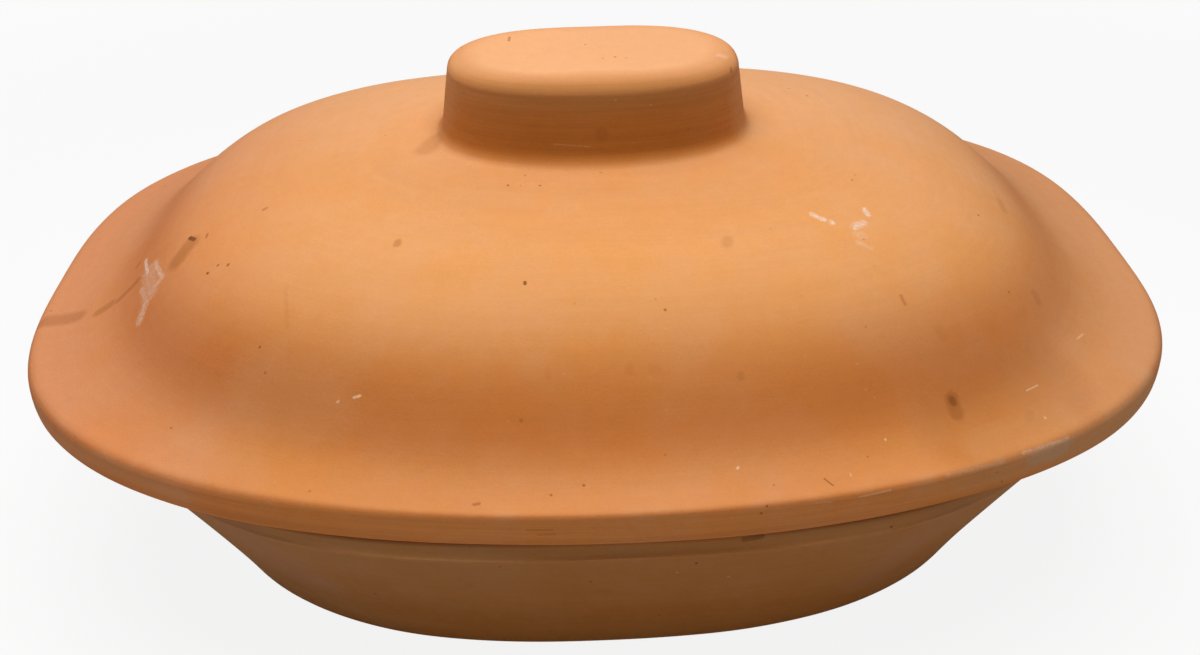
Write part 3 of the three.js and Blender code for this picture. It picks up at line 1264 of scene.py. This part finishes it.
class ClayGrain(Effect):
    """The fine body of the clay: mottle, grain, small open pits and pale flecks."""

    name = "clay_grain"
    outputs = ("Mottle", "Grain", "Pits", "Flecks")

    MOTTLE = Noise(260, 4, 0.6)
    GRAIN = Noise(1500, 2)
    PITS = Specks(150, (0.085, 0.05), Noise(55, 2, spread=(0.52, 0.62)))
    FLECKS = Specks(210, (0.10, 0.05), Noise(70, 2, spread=(0.54, 0.64)))
    FLECK_SHIFT = 0.37

    def draw(self, sheet: NodeSheet, given: bpy.types.NodeOutputs) -> dict[str, Socket]:
        """Draws noise at two scales, and two scatters of specks.

        Args:
            sheet: the group's nodes.
            given: the place.

        Returns:
            The mottle and the grain, about 0.5, and masks of the pits and the flecks.
        """
        place = given["Place"]
        redrawn = sheet.stretch(place, shift=self.FLECK_SHIFT)
        return {
            "Mottle": sheet.noise(place, self.MOTTLE),
            "Grain": sheet.noise(place, self.GRAIN),
            "Pits": sheet.specks(place, self.PITS),
            "Flecks": sheet.specks(redrawn, self.FLECKS),
        }


class FiringCloud(Effect):
    """Broad shifts of tone from the kiln, and smaller blotches within them."""

    name = "firing_cloud"
    outputs = ("Cloud", "Blotch")

    CLOUD = Noise(11, 2.5, spread=(0.3, 0.7))
    BLOTCH = Noise(42, 4, 0.6, (0.32, 0.72))

    def draw(self, sheet: NodeSheet, given: bpy.types.NodeOutputs) -> dict[str, Socket]:
        """Draws two noises, each with its middle range spread out."""
        place = given["Place"]
        return {"Cloud": sheet.noise(place, self.CLOUD), "Blotch": sheet.noise(place, self.BLOTCH)}


class WipedStreaks(Effect):
    """Level streaks that a wet sponge leaves as it is drawn round the piece."""

    name = "wiped_streaks"
    outputs = ("Streak", "Height")

    BROAD = Noise(1.0, 3, 0.6)
    BROAD_SCALE: Triple = (16, 16, 520)
    FINE = Noise(1.0, 3, 0.65)
    FINE_SCALE: Triple = (34, 34, 2300)
    FINE_SHIFT = 4.0
    SPREAD: Range = (0.68, 1.32)

    def draw(self, sheet: NodeSheet, given: bpy.types.NodeOutputs) -> dict[str, Socket]:
        """Draws noise that is slow along the surface and quick in height, at two widths.

        Args:
            sheet: the group's nodes.
            given: the place.

        Returns:
            The streaks from 0 to 1, and the sum of the noises, which the bump reads.
        """
        broad = sheet.noise(sheet.stretch(given["Place"], self.BROAD_SCALE), self.BROAD)
        fine = sheet.noise(sheet.stretch(given["Place"], self.FINE_SCALE, self.FINE_SHIFT), self.FINE)
        height = sheet.math("ADD", broad, fine)
        return {"Streak": sheet.span(height, *self.SPREAD), "Height": height}


class EdgeRub(Effect):
    """Paler clay where an arris has rubbed, broken up along its length."""

    name = "edge_rub"
    inputs = {"Place": Port.PLACE, "Edge": Port.VALUE}

    GAPS = Noise(120, 5, 0.65, (0.42, 0.68))

    def draw(self, sheet: NodeSheet, given: bpy.types.NodeOutputs) -> dict[str, Socket]:
        """Draws closeness to the arris, times noise that leaves gaps."""
        gaps = sheet.noise(given["Place"], self.GAPS)
        return {"Mask": sheet.math("MULTIPLY", given["Edge"], gaps)}


class Stroke(Effect):
    """One mark on the surface: a stroke between two points, with a soft or ragged border."""

    name = "stroke"
    inputs = {
        "Place": Port.PLACE,
        "Start": Port.PLACE,
        "Run": Port.PLACE,
        "Half Width": Port.VALUE,
        "Ragged": Port.VALUE,
        "Strength": Port.VALUE,
    }

    LEAST_SQUARE = 1e-9
    BORDER: Range = (1.5, 0.5)

    def draw(self, sheet: NodeSheet, given: bpy.types.NodeOutputs) -> dict[str, Socket]:
        """Draws distance to the segment over the half width, plus a disturbance, faded over the border.

        Args:
            sheet: the group's nodes.
            given: the place, the segment's start and run, and the stroke's looks.

        Returns:
            The mask, which is half of the strength at the half width.
        """
        run = given["Run"]
        away = sheet.vector("SUBTRACT", given["Place"], given["Start"])
        square = sheet.math("ADD", sheet.vector("DOT_PRODUCT", run, run), self.LEAST_SQUARE)
        share = sheet.math("DIVIDE", sheet.vector("DOT_PRODUCT", away, run), square)
        held = sheet.math("MINIMUM", sheet.math("MAXIMUM", share, 0.0), 1.0)
        beside = sheet.vector("SUBTRACT", away, sheet.vector("SCALE", run, held))
        distance = sheet.math("DIVIDE", sheet.vector("LENGTH", beside), given["Half Width"])
        mask = sheet.span(sheet.math("ADD", distance, given["Ragged"]), *self.BORDER)
        return {"Mask": sheet.math("MULTIPLY", mask, given["Strength"])}


GRAIN = ClayGrain()
CLOUD = FiringCloud()
STREAKS = WipedStreaks()
RUB = EdgeRub()
STROKE = Stroke()


@dataclass(frozen=True)
class MarkLook:
    """How a kind of mark looks.

    Attributes:
        colour: what it brings, as linear reflectance.
        ragged: how far noise moves its border, in half widths.
        crumble: share of it that breaks up into crumbs.
    """

    colour: Colour
    ragged: float
    crumble: float = 0.0


class MarkKind(Enum):
    """Kinds of mark, in the order in which they cover one another."""

    PIT = MarkLook((0.105, 0.024, 0.004), 0.5)
    SMEAR = MarkLook((0.34, 0.105, 0.022), 0.8)
    CHALK = MarkLook((0.83, 0.64, 0.51), 2.2, 0.6)
    # Pale grey strokes: dust, and painted light on the ends of the rim and the knob.
    DUST_AND_PAINTED_LIGHT = MarkLook((0.72, 0.43, 0.22), 1.2, 0.2)
    GREY = MarkLook((0.58, 0.42, 0.29), 1.6, 0.45)
    # Greyish brown cast: painted sheen.
    PAINTED_SHEEN = MarkLook((0.44, 0.200, 0.112), 0.6)
    SCRATCH = MarkLook((0.92, 0.61, 0.37), 0.9, 0.3)


@dataclass(frozen=True)
class Mark:
    """A mark, placed by pixels of the photograph.

    Attributes:
        start: pixel where its middle line starts.
        end: pixel where its middle line ends.
        half_width: in pixels.
        strength: how far it covers the clay.
    """

    start: Pixel
    end: Pixel
    half_width: float
    strength: float


@dataclass(frozen=True)
class PlacedMark:
    """A mark on a piece, in metres."""

    start: Vector
    run: Vector
    half_width: float
    strength: float


MarkSheet = dict[MarkKind, tuple[Mark, ...]]
PlacedSheet = dict[MarkKind, list[PlacedMark]]

LID_MARKS: MarkSheet = {
    MarkKind.PIT: (
        Mark((189.8, 237.8), (194.6, 239.6), 2.3, 0.85), Mark((207.4, 273.1), (207.8, 273.3), 1.4, 0.75),
        Mark((228.6, 264.2), (227.6, 265.4), 1.2, 0.7), Mark((525, 282.2), (525, 283.8), 1.7, 0.75),
        Mark((951.8, 399.4), (953.2, 402.6), 3.6, 0.72), Mark((824.5, 478.9), (833.2, 485.5), 1, 0.5),
        Mark((766.7, 505.8), (767.2, 506.2), 1.2, 0.55), Mark((507.8, 185), (508.2, 185.4), 1.1, 0.6),
        Mark((539.8, 185.4), (540.2, 185.8), 1.1, 0.6),
    ),
    MarkKind.SMEAR: (
        Mark((189, 245), (177, 261), 11, 0.46), Mark((207.2, 234.2), (206.6, 237.2), 1.4, 0.6),
        Mark((266, 208.3), (264, 209.4), 2.2, 0.5), Mark((285.5, 290), (287.5, 326), 2.4, 0.1),
        Mark((46, 321.4), (77, 316.8), 9, 0.4), Mark((98.5, 312), (110.5, 304.6), 6, 0.38),
        Mark((118, 300.4), (138, 280.4), 4.2, 0.4), Mark((136.6, 267.6), (139.9, 262.4), 1.6, 0.6),
        Mark((398, 242), (397, 244.4), 3.8, 0.4), Mark((728, 240), (727, 243), 5.4, 0.24),
        Mark((1000, 201), (1004, 211), 4.4, 0.2), Mark((1035, 294), (1038, 301), 5.2, 0.24),
        Mark((1030.2, 413), (1029, 419), 5.5, 0.36), Mark((901, 296), (905, 304), 1.8, 0.42),
        Mark((952, 399.2), (956.6, 413.6), 8.6, 0.6), Mark((940, 330), (944, 337), 5.4, 0.11),
        Mark((965, 432), (1050, 388), 46, 0.24), Mark((629.2, 367), (629.2, 371), 4, 0.15),
        Mark((652, 368), (657, 368), 4.8, 0.11), Mark((740.9, 375), (740.9, 377.5), 3.6, 0.26),
        Mark((520.8, 420.2), (521.4, 421), 1.8, 0.5), Mark((547.9, 369), (547.9, 376), 2.8, 0.11),
        # The first stroke on the line below, at the left of the knob's foot, is painted shade.
        Mark((437, 138), (425, 150), 10, 0.26), Mark((474.2, 504.6), (479, 503.6), 1.8, 0.6),
        Mark((509.5, 37), (508.8, 41), 1.3, 0.6), Mark((731, 68.3), (731, 71.5), 1.5, 0.7),
        Mark((601.5, 133), (601.5, 136), 6, 0.34), Mark((527, 530.4), (552, 529.8), 1.2, 0.3),
        Mark((538, 535), (556, 534), 1.2, 0.24),
    ),
    MarkKind.CHALK: (
        Mark((145.7, 260), (147.8, 273.4), 2, 1), Mark((155.5, 262.2), (161.8, 276.9), 2.6, 0.6),
        Mark((161, 278.3), (148, 297), 4.8, 0.42), Mark((141.5, 289.5), (147, 303.6), 3.2, 0.42),
        Mark((145.7, 303.6), (139.4, 320.4), 5.4, 0.5), Mark((150, 270), (150, 292), 11, 0.34),
        Mark((811.8, 214.2), (823.7, 219.8), 2.8, 0.9), Mark((831.4, 222), (832.4, 222.8), 2.8, 0.85),
        Mark((864.7, 209), (867.9, 214.6), 2.6, 0.9), Mark((854.6, 227.2), (863, 223), 4.2, 0.7),
        Mark((858, 234), (862, 235), 5, 0.25), Mark((857.4, 242), (871.4, 248.2), 2.4, 0.3),
        Mark((947, 475.4), (1003.8, 462.6), 1.8, 0.18), Mark((1024, 453.2), (1068.6, 438.3), 1.7, 0.48),
        Mark((720, 55.4), (723.5, 56.4), 4, 0.3),
    ),
    MarkKind.DUST_AND_PAINTED_LIGHT: (
        # Below, the strokes along both ends of the rim are painted sheen, and the two on the knob's ends
        # painted light.
        Mark((925, 491), (960, 483), 14, 0.16), Mark((960, 483), (1000, 472), 14, 0.28),
        Mark((1000, 472), (1050, 456), 14, 0.36), Mark((1050, 456), (1100, 434), 14, 0.42),
        Mark((1100, 434), (1138, 404), 14, 0.46), Mark((1138, 404), (1150, 384), 14, 0.4),
        Mark((38, 411), (60, 441), 9, 0.28), Mark((60, 441), (114, 468), 10, 0.3),
        Mark((114, 468), (181, 495), 10, 0.26), Mark((262, 392), (312, 406), 38, 0.16),
        Mark((446, 92), (444, 108), 28, 0.26), Mark((741, 90), (743, 112), 28, 0.3),
        Mark((985, 447), (1062, 418), 20, 0.15),
    ),
    MarkKind.GREY: (
        Mark((1032, 460), (1064, 449), 7.5, 0.5), Mark((1042, 454), (1072, 442), 4.5, 0.5),
    ),
    MarkKind.SCRATCH: (
        Mark((1026.8, 390.6), (1037.7, 385.2), 0.8, 0.5), Mark((1077, 339), (1083, 334), 0.9, 0.5),
        Mark((354, 397.6), (360, 395.8), 1.3, 0.8), Mark((337, 402.2), (338.6, 401.4), 1.2, 0.5),
        Mark((737.3, 468.4), (738.2, 467.4), 1.2, 0.9), Mark((885.4, 439.2), (885.4, 439.8), 1.1, 0.65),
        Mark((1045.2, 417.4), (1045.4, 418), 1.3, 0.6), Mark((850.6, 473.8), (850.6, 476), 1, 0.4),
        Mark((859.9, 497.1), (890.6, 490), 0.9, 0.5), Mark((816, 503), (831.6, 501.8), 0.9, 0.25),
        Mark((554, 144), (590, 146.7), 0.7, 0.14),
    ),
}

BASE_MARKS: MarkSheet = {
    MarkKind.PIT: (
        Mark((696.3, 563), (696.3, 563.6), 1.4, 0.75), Mark((590.2, 581.4), (590.6, 582), 1.3, 0.5),
        Mark((744.4, 539.4), (761.7, 536.2), 3.2, 0.42),
    ),
    MarkKind.SMEAR: (
        Mark((468, 584.6), (471, 586), 5, 0.25), Mark((599, 591), (604, 592), 6.5, 0.2),
    ),
    MarkKind.PAINTED_SHEEN: (
        # Painted sheen on both ends of the base, stronger on the left.
        Mark((222, 512), (300, 575), 42, 0.42), Mark((950, 512), (872, 578), 30, 0.25),
    ),
    MarkKind.SCRATCH: (
        Mark((676.9, 572), (677.3, 572.6), 1.2, 0.35), Mark((728.4, 576.4), (728.8, 577), 1.2, 0.28),
    ),
}


def put_marks(marks: MarkSheet, piece: bpy.types.Object, viewpoint: Viewpoint) -> PlacedSheet:
    """Puts marks where the camera's rays through their pixels first meet a piece.

    Args:
        marks: the marks to place, by kind.
        piece: the piece that carries them.
        viewpoint: the camera.

    Returns:
        The marks that land on the piece, by kind.
    """
    bpy.context.view_layer.update()
    eye = Vector(viewpoint.place())
    placed: PlacedSheet = {kind: [] for kind in marks}
    for kind, group in marks.items():
        for mark in group:
            start_met, start, _, _ = piece.ray_cast(eye, viewpoint.ray(mark.start))
            end_met, end, _, _ = piece.ray_cast(eye, viewpoint.ray(mark.end))
            if not (start_met and end_met):
                LOG.warning("a mark at %s misses %s", mark.start, piece.name)
                continue
            pixel = (start - eye).length / viewpoint.focal
            placed[kind].append(PlacedMark(start, end - start, mark.half_width * pixel, mark.strength))
    return placed


@dataclass(frozen=True)
class ClayTones:
    """Colours of one clay surface, as linear reflectances; they include painted light and painted shade.
    """

    deep: Colour
    body: Colour
    pale: Colour
    # Paler colour of upward faces: painted top light.
    painted_top_light: Colour
    # Colour of sponged faces, which also serves as painted light on faces in shade.
    wiped_and_painted_light: Colour
    # Darker colour: painted shade.
    painted_shade: Colour
    rubbed: Colour


@dataclass(frozen=True)
class ClayFinish:
    """Unglazed fired clay.

    Attributes:
        name: the material's name.
        tones: its colours.
        rub: how far the arrises have rubbed pale.
        stain: how far cooking has browned it in patches.
        roughness: the mean roughness.
    """

    name: str
    tones: ClayTones
    rub: float = 0.5
    stain: float = 0.0
    roughness: float = 0.9

    SPECULAR: ClassVar[float] = 0.12
    ROUGH: ClassVar[Noise] = Noise(300)
    ROUGH_SPREAD: ClassVar[Range] = (0.3, 0.7)
    ROUGH_SWING: ClassVar[float] = 0.06
    BUMP_STRENGTH: ClassVar[float] = 0.14
    BUMP_DISTANCE: ClassVar[float] = 0.0004
    STAINS: ClassVar[Noise] = Noise(17, 5, 0.62, (0.46, 0.74))
    STAIN_COLOUR: ClassVar[Colour] = (0.26, 0.105, 0.040)
    JITTER: ClassVar[Noise] = Noise(900, 4, 0.7)
    CRUMBS: ClassVar[Noise] = Noise(1300, 3, 0.6, (0.42, 0.60))
    BLOTCH: ClassVar[float] = 0.5
    MOTTLE: ClassVar[float] = 0.09
    GRAIN: ClassVar[float] = 0.13
    BODY_STREAK: ClassVar[float] = 0.035
    WIPED_STREAK: ClassVar[float] = 0.10
    PIT_COVER: ClassVar[float] = 0.5
    FLECK_COVER: ClassVar[float] = 0.2
    WIPED_BUMP: ClassVar[float] = 0.35
    PATCHY_DRYING: ClassVar[float] = 0.4
    FRESH_TINT: ClassVar[Colour] = (1.0, 0.92, 0.74)
    # Pale cool tint of drier clay, which also serves as painted sheen.
    DRY_AND_SHEEN_TINT: ClassVar[Colour] = (0.98, 1.07, 1.45)
    FLUSH_TINT: ClassVar[Colour] = (1.03, 0.93, 0.95)

    def colour(self, sheet: NodeSheet, place: Socket, marks: PlacedSheet) -> tuple[Socket, Socket]:
        """Wires the clay's colour: tone, painted top light, sponge work with painted light, painted shade,
        grain, rubbed arrises, stains and marks.

        Args:
            sheet: the material's nodes.
            place: Object coordinates.
            marks: the marks on this surface.

        Returns:
            The colour, and the height that the bump reads.
        """
        tones = self.tones
        grain = sheet.effect(GRAIN, {"Place": place})
        cloud = sheet.effect(CLOUD, {"Place": place})
        streaks = sheet.effect(STREAKS, {"Place": place})
        wiped_and_painted_light = sheet.attribute("wiped_and_painted_light")

        colour = sheet.blend(cloud["Cloud"], tones.deep, tones.body)
        colour = sheet.cover(colour, tones.pale, cloud["Blotch"], self.BLOTCH)
        # Painted top light, then sponge work with painted light, then painted shade.
        colour = sheet.blend(sheet.attribute("painted_top_light"), colour, tones.painted_top_light)
        colour = sheet.blend(wiped_and_painted_light, colour, tones.wiped_and_painted_light)
        colour = sheet.blend(sheet.attribute("painted_shade"), colour, tones.painted_shade)
        # Drier clay and painted sheen turn the colour pale and cool.
        patchy = sheet.math("MULTIPLY_ADD", cloud["Blotch"], self.PATCHY_DRYING, sheet.attribute("dry_and_painted_sheen"))
        colour = sheet.vector("MULTIPLY", colour, sheet.blend(patchy, self.FRESH_TINT, self.DRY_AND_SHEEN_TINT))
        flushed = sheet.blend(sheet.attribute("flush"), WHITE, self.FLUSH_TINT)
        colour = sheet.vector("MULTIPLY", colour, flushed)

        streaked = sheet.math("MULTIPLY_ADD", wiped_and_painted_light, self.WIPED_STREAK, self.BODY_STREAK)
        mottle = sheet.swing(grain["Mottle"], self.MOTTLE)
        speckle = sheet.swing(grain["Grain"], self.GRAIN)
        streak = sheet.swing(streaks["Streak"], streaked)
        shade = sheet.math("MULTIPLY", streak, sheet.math("MULTIPLY", mottle, speckle))
        colour = sheet.vector("SCALE", colour, shade)

        colour = sheet.cover(colour, MarkKind.PIT.value.colour, grain["Pits"], self.PIT_COVER)
        colour = sheet.cover(colour, tones.rubbed, grain["Flecks"], self.FLECK_COVER)
        worn = sheet.effect(RUB, {"Place": place, "Edge": sheet.attribute("edge")})["Mask"]
        colour = sheet.cover(colour, tones.rubbed, worn, self.rub)
        if self.stain:
            colour = sheet.cover(colour, self.STAIN_COLOUR, sheet.noise(place, self.STAINS), self.stain)
        for kind, mask in self.masks(sheet, place, marks).items():
            colour = sheet.blend(mask, colour, kind.value.colour)

        wiped_bump = sheet.math("MULTIPLY", wiped_and_painted_light, self.WIPED_BUMP)
        return colour, sheet.math("MULTIPLY_ADD", streaks["Height"], wiped_bump, grain["Grain"])

    def masks(self, sheet: NodeSheet, place: Socket, marks: PlacedSheet) -> dict[MarkKind, Socket]:
        """Where each kind of mark covers the clay: the strongest of its strokes, broken into crumbs.

        Args:
            sheet: the material's nodes.
            place: Object coordinates.
            marks: the marks on this surface.

        Returns:
            A mask for each kind that the surface has.
        """
        found: dict[MarkKind, Socket] = {}
        if not marks:
            return found
        jitter = sheet.math("SUBTRACT", sheet.noise(place, self.JITTER), 0.5)
        crumbs = sheet.noise(place, self.CRUMBS)
        for kind in MarkKind:
            look = kind.value
            ragged = sheet.math("MULTIPLY", jitter, look.ragged)
            for mark in marks.get(kind, ()):
                feeds = {
                    "Place": place,
                    "Start": mark.start,
                    "Run": mark.run,
                    "Half Width": mark.half_width,
                    "Ragged": ragged,
                    "Strength": mark.strength,
                }
                stroke = sheet.effect(STROKE, feeds)["Mask"]
                found[kind] = sheet.math("MAXIMUM", found[kind], stroke) if kind in found else stroke
            if kind in found and look.crumble:
                kept = sheet.math("MULTIPLY_ADD", crumbs, look.crumble, 1.0 - look.crumble)
                found[kind] = sheet.math("MULTIPLY", found[kind], kept)
        return found

    def material(self, marks: PlacedSheet) -> bpy.types.Material:
        """Makes the material: matt clay with a fine bump.

        Args:
            marks: the marks on this surface.

        Returns:
            The material.
        """
        made = bpy.data.materials.new(self.name)
        sheet = blank_sheet(made)
        place = sheet.node("ShaderNodeTexCoord").outputs["Object"]
        colour, height = self.colour(sheet, place, marks)
        least, most = self.roughness - self.ROUGH_SWING, self.roughness + self.ROUGH_SWING
        bump_feeds = {"Strength": self.BUMP_STRENGTH, "Distance": self.BUMP_DISTANCE, "Height": height}
        feeds = {
            "Base Color": colour,
            "Roughness": sheet.span(sheet.noise(place, self.ROUGH), *self.ROUGH_SPREAD, least, most),
            "Specular IOR Level": self.SPECULAR,
            "Normal": sheet.node("ShaderNodeBump", bump_feeds).outputs["Normal"],
        }
        shader = sheet.node("ShaderNodeBsdfPrincipled", feeds)
        sheet.node("ShaderNodeOutputMaterial", {"Surface": shader.outputs["BSDF"]})
        return made


LID_SKIN = ClayFinish(
    "lid_skin",
    ClayTones(
        deep=(0.535, 0.164, 0.038),
        body=(0.555, 0.177, 0.043),
        pale=(0.575, 0.191, 0.049),
        painted_top_light=(0.785, 0.356, 0.123),
        wiped_and_painted_light=(0.785, 0.290, 0.078),
        painted_shade=(0.455, 0.165, 0.034),
        rubbed=(0.800, 0.430, 0.220),
    ),
    rub=0.15,
)
# The lid's clay in darker tones: painted shade on the base's downward-facing walls under the lid's rim.
BASE_SKIN_PAINTED_SHADE = ClayFinish(
    "base_skin_painted_shade",
    ClayTones(
        deep=(0.400, 0.158, 0.038),
        body=(0.420, 0.169, 0.042),
        pale=(0.440, 0.180, 0.047),
        painted_top_light=(0.560, 0.245, 0.085),
        wiped_and_painted_light=(0.630, 0.270, 0.075),
        painted_shade=(0.400, 0.150, 0.038),
        rubbed=(0.600, 0.300, 0.140),
    ),
    rub=0.2,
)
INNER_CLAY = ClayFinish(
    "inner_clay",
    ClayTones(
        deep=(0.560, 0.215, 0.072),
        body=(0.610, 0.242, 0.084),
        pale=(0.650, 0.272, 0.102),
        painted_top_light=(0.650, 0.285, 0.115),
        wiped_and_painted_light=(0.600, 0.230, 0.080),
        painted_shade=(0.500, 0.180, 0.056),
        rubbed=(0.740, 0.380, 0.190),
    ),
    stain=0.42,
)
RUBBED_CLAY = ClayFinish(
    "rubbed_clay",
    ClayTones(
        deep=(0.600, 0.235, 0.080),
        body=(0.650, 0.275, 0.105),
        pale=(0.700, 0.325, 0.140),
        painted_top_light=(0.700, 0.330, 0.145),
        wiped_and_painted_light=(0.640, 0.250, 0.085),
        painted_shade=(0.520, 0.190, 0.060),
        rubbed=(0.780, 0.430, 0.230),
    ),
    rub=0.8,
    roughness=0.86,
)


@dataclass(frozen=True)
class Softbox:
    """A soft white rectangular lamp that looks at the roaster.

    Attributes:
        name: the lamp's name.
        place: where it hangs, in metres.
        size: width and depth, in metres.
        power: in watts.
    """

    name: str = "top_softbox"
    place: Triple = (-0.03, -0.07, 0.72)
    size: Range = (0.62, 0.5)
    power: float = 4.76

    AIM: ClassVar[Triple] = (0.0, 0.0, 0.09)

    def build(self) -> None:
        """Makes the lamp."""
        data = bpy.data.lights.new(self.name, "AREA")
        data.shape = "RECTANGLE"
        data.size, data.size_y = self.size
        data.energy = self.power
        lamp = link(self.name, data)
        lamp.location = self.place
        lamp.rotation_euler = (Vector(self.AIM) - Vector(self.place)).to_track_quat("-Z", "Y").to_euler()


@dataclass(frozen=True)
class Studio:
    """The pale floor, the surrounding light and the lamp.

    Attributes:
        floor_half: half of the floor's side, in metres.
        ambient: even light from all round.
        floor_bounce: the floor's colour in the light that it throws on the clay.
        floor_seen: its colour as the camera sees it, where it shows the shadow.
        floor_glow: share of plain white near the roaster, which thins the shadow.
        far_glow: the same far off, where the floor meets the white background.
        glow_reach: distances over which one turns into the other, in metres.
        lamp: the lamp overhead.
    """

    floor_half: float = 4.0
    ambient: Colour = (0.11, 0.11, 0.11)
    floor_bounce: Colour = (0.74, 0.70, 0.66)
    floor_seen: Colour = (0.92, 0.92, 0.92)
    floor_glow: float = 0.88
    far_glow: float = 0.99
    glow_reach: Range = (0.25, 1.0)
    lamp: Softbox = Softbox()

    @staticmethod
    def seen(sheet: NodeSheet) -> Socket:
        """Tells the rays that show the background: from the camera, a glossy reflection or glass.

        Args:
            sheet: the nodes of the floor or the world.

        Returns:
            1 for those rays, and 0 for the ones that light the clay.
        """
        path = sheet.node("ShaderNodeLightPath").outputs
        shine = sheet.math("MAXIMUM", path["Is Glossy Ray"], path["Is Transmission Ray"])
        return sheet.math("MAXIMUM", path["Is Camera Ray"], shine)

    def floor(self) -> None:
        """Makes the floor: seen as near white, whiter far off, with the shadow kept and a low bounce."""
        half = self.floor_half
        ground = [(-half, -half, 0), (half, -half, 0), (half, half, 0), (-half, half, 0)]
        mesh = bpy.data.meshes.new("floor")
        mesh.from_pydata(ground, [], [range(len(ground))])
        floor = link("floor", mesh)
        made = bpy.data.materials.new("pale_floor")
        sheet = blank_sheet(made)
        bounce = sheet.node("ShaderNodeBsdfDiffuse", {"Color": self.floor_bounce}).outputs[0]
        shown = sheet.node("ShaderNodeBsdfDiffuse", {"Color": self.floor_seen}).outputs[0]
        glow = sheet.node("ShaderNodeEmission", {"Color": WHITE, "Strength": 1.0}).outputs[0]
        away = sheet.vector("LENGTH", sheet.node("ShaderNodeTexCoord").outputs["Object"])
        share = sheet.span(away, *self.glow_reach, self.floor_glow, self.far_glow)
        surface = sheet.mix(self.seen(sheet), bounce, sheet.mix(share, shown, glow))
        sheet.node("ShaderNodeOutputMaterial", {"Surface": surface})
        mesh.materials.append(made)

    def surroundings(self) -> None:
        """Makes the world: white where it is seen, and a low even light on the clay."""
        world = bpy.data.worlds.new("studio")
        sheet = blank_sheet(world)
        colour = sheet.blend(self.seen(sheet), self.ambient, WHITE)
        background = sheet.node("ShaderNodeBackground", {"Color": colour, "Strength": 1.0})
        sheet.node("ShaderNodeOutputWorld", {"Surface": background.outputs[0]})
        bpy.context.scene.world = world

    def build(self) -> None:
        """Makes everything around the roaster, and sets plain colour management."""
        self.floor()
        self.surroundings()
        self.lamp.build()
        bpy.context.scene.view_settings.view_transform = "Standard"


def lay_finishes(piece: bpy.types.Object, skin: ClayFinish, marks: PlacedSheet) -> None:
    """Gives a piece a material for each zone, in the zones' order.

    Args:
        piece: the piece.
        skin: the finish of its outside; the inside and the rubbed faces are alike on both pieces.
        marks: the marks on its outside.
    """
    finishes = {Zone.SKIN: skin, Zone.INNER: INNER_CLAY, Zone.RUBBED: RUBBED_CLAY}
    for zone in Zone:
        finish = finishes[zone]
        shared = bpy.data.materials.get(finish.name)
        piece.data.materials.append(shared or finish.material(marks if zone is Zone.SKIN else {}))


def join_body(piece: bpy.types.Object, body: str) -> None:
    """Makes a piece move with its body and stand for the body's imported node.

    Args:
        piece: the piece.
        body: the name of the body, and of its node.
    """
    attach(piece, body)
    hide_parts(body)
    LOG.info("%s: %d faces on body %s", piece.name, len(piece.data.polygons), body)


def main() -> None:
    """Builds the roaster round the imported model, then the studio."""
    logging.basicConfig(level=logging.INFO, format="%(name)s: %(message)s")
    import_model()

    viewpoint = Viewpoint()
    base, lid = Base(), Lid()
    even = np.arange(DIRECTIONS) * (2 * np.pi / DIRECTIONS)
    turns = np.arctan2(lid.rim.half_width * np.sin(even), lid.rim.half_length * np.cos(even))

    base_piece = base.build(turns)
    base.dress(base_piece, viewpoint)
    join_body(base_piece, "base")

    lid_piece = lid.build(turns, base)
    lid.dress(lid_piece, viewpoint)
    join_body(lid_piece, "lid")

    Studio().build()
    viewpoint.build()


if __name__ == "__main__":
    main()
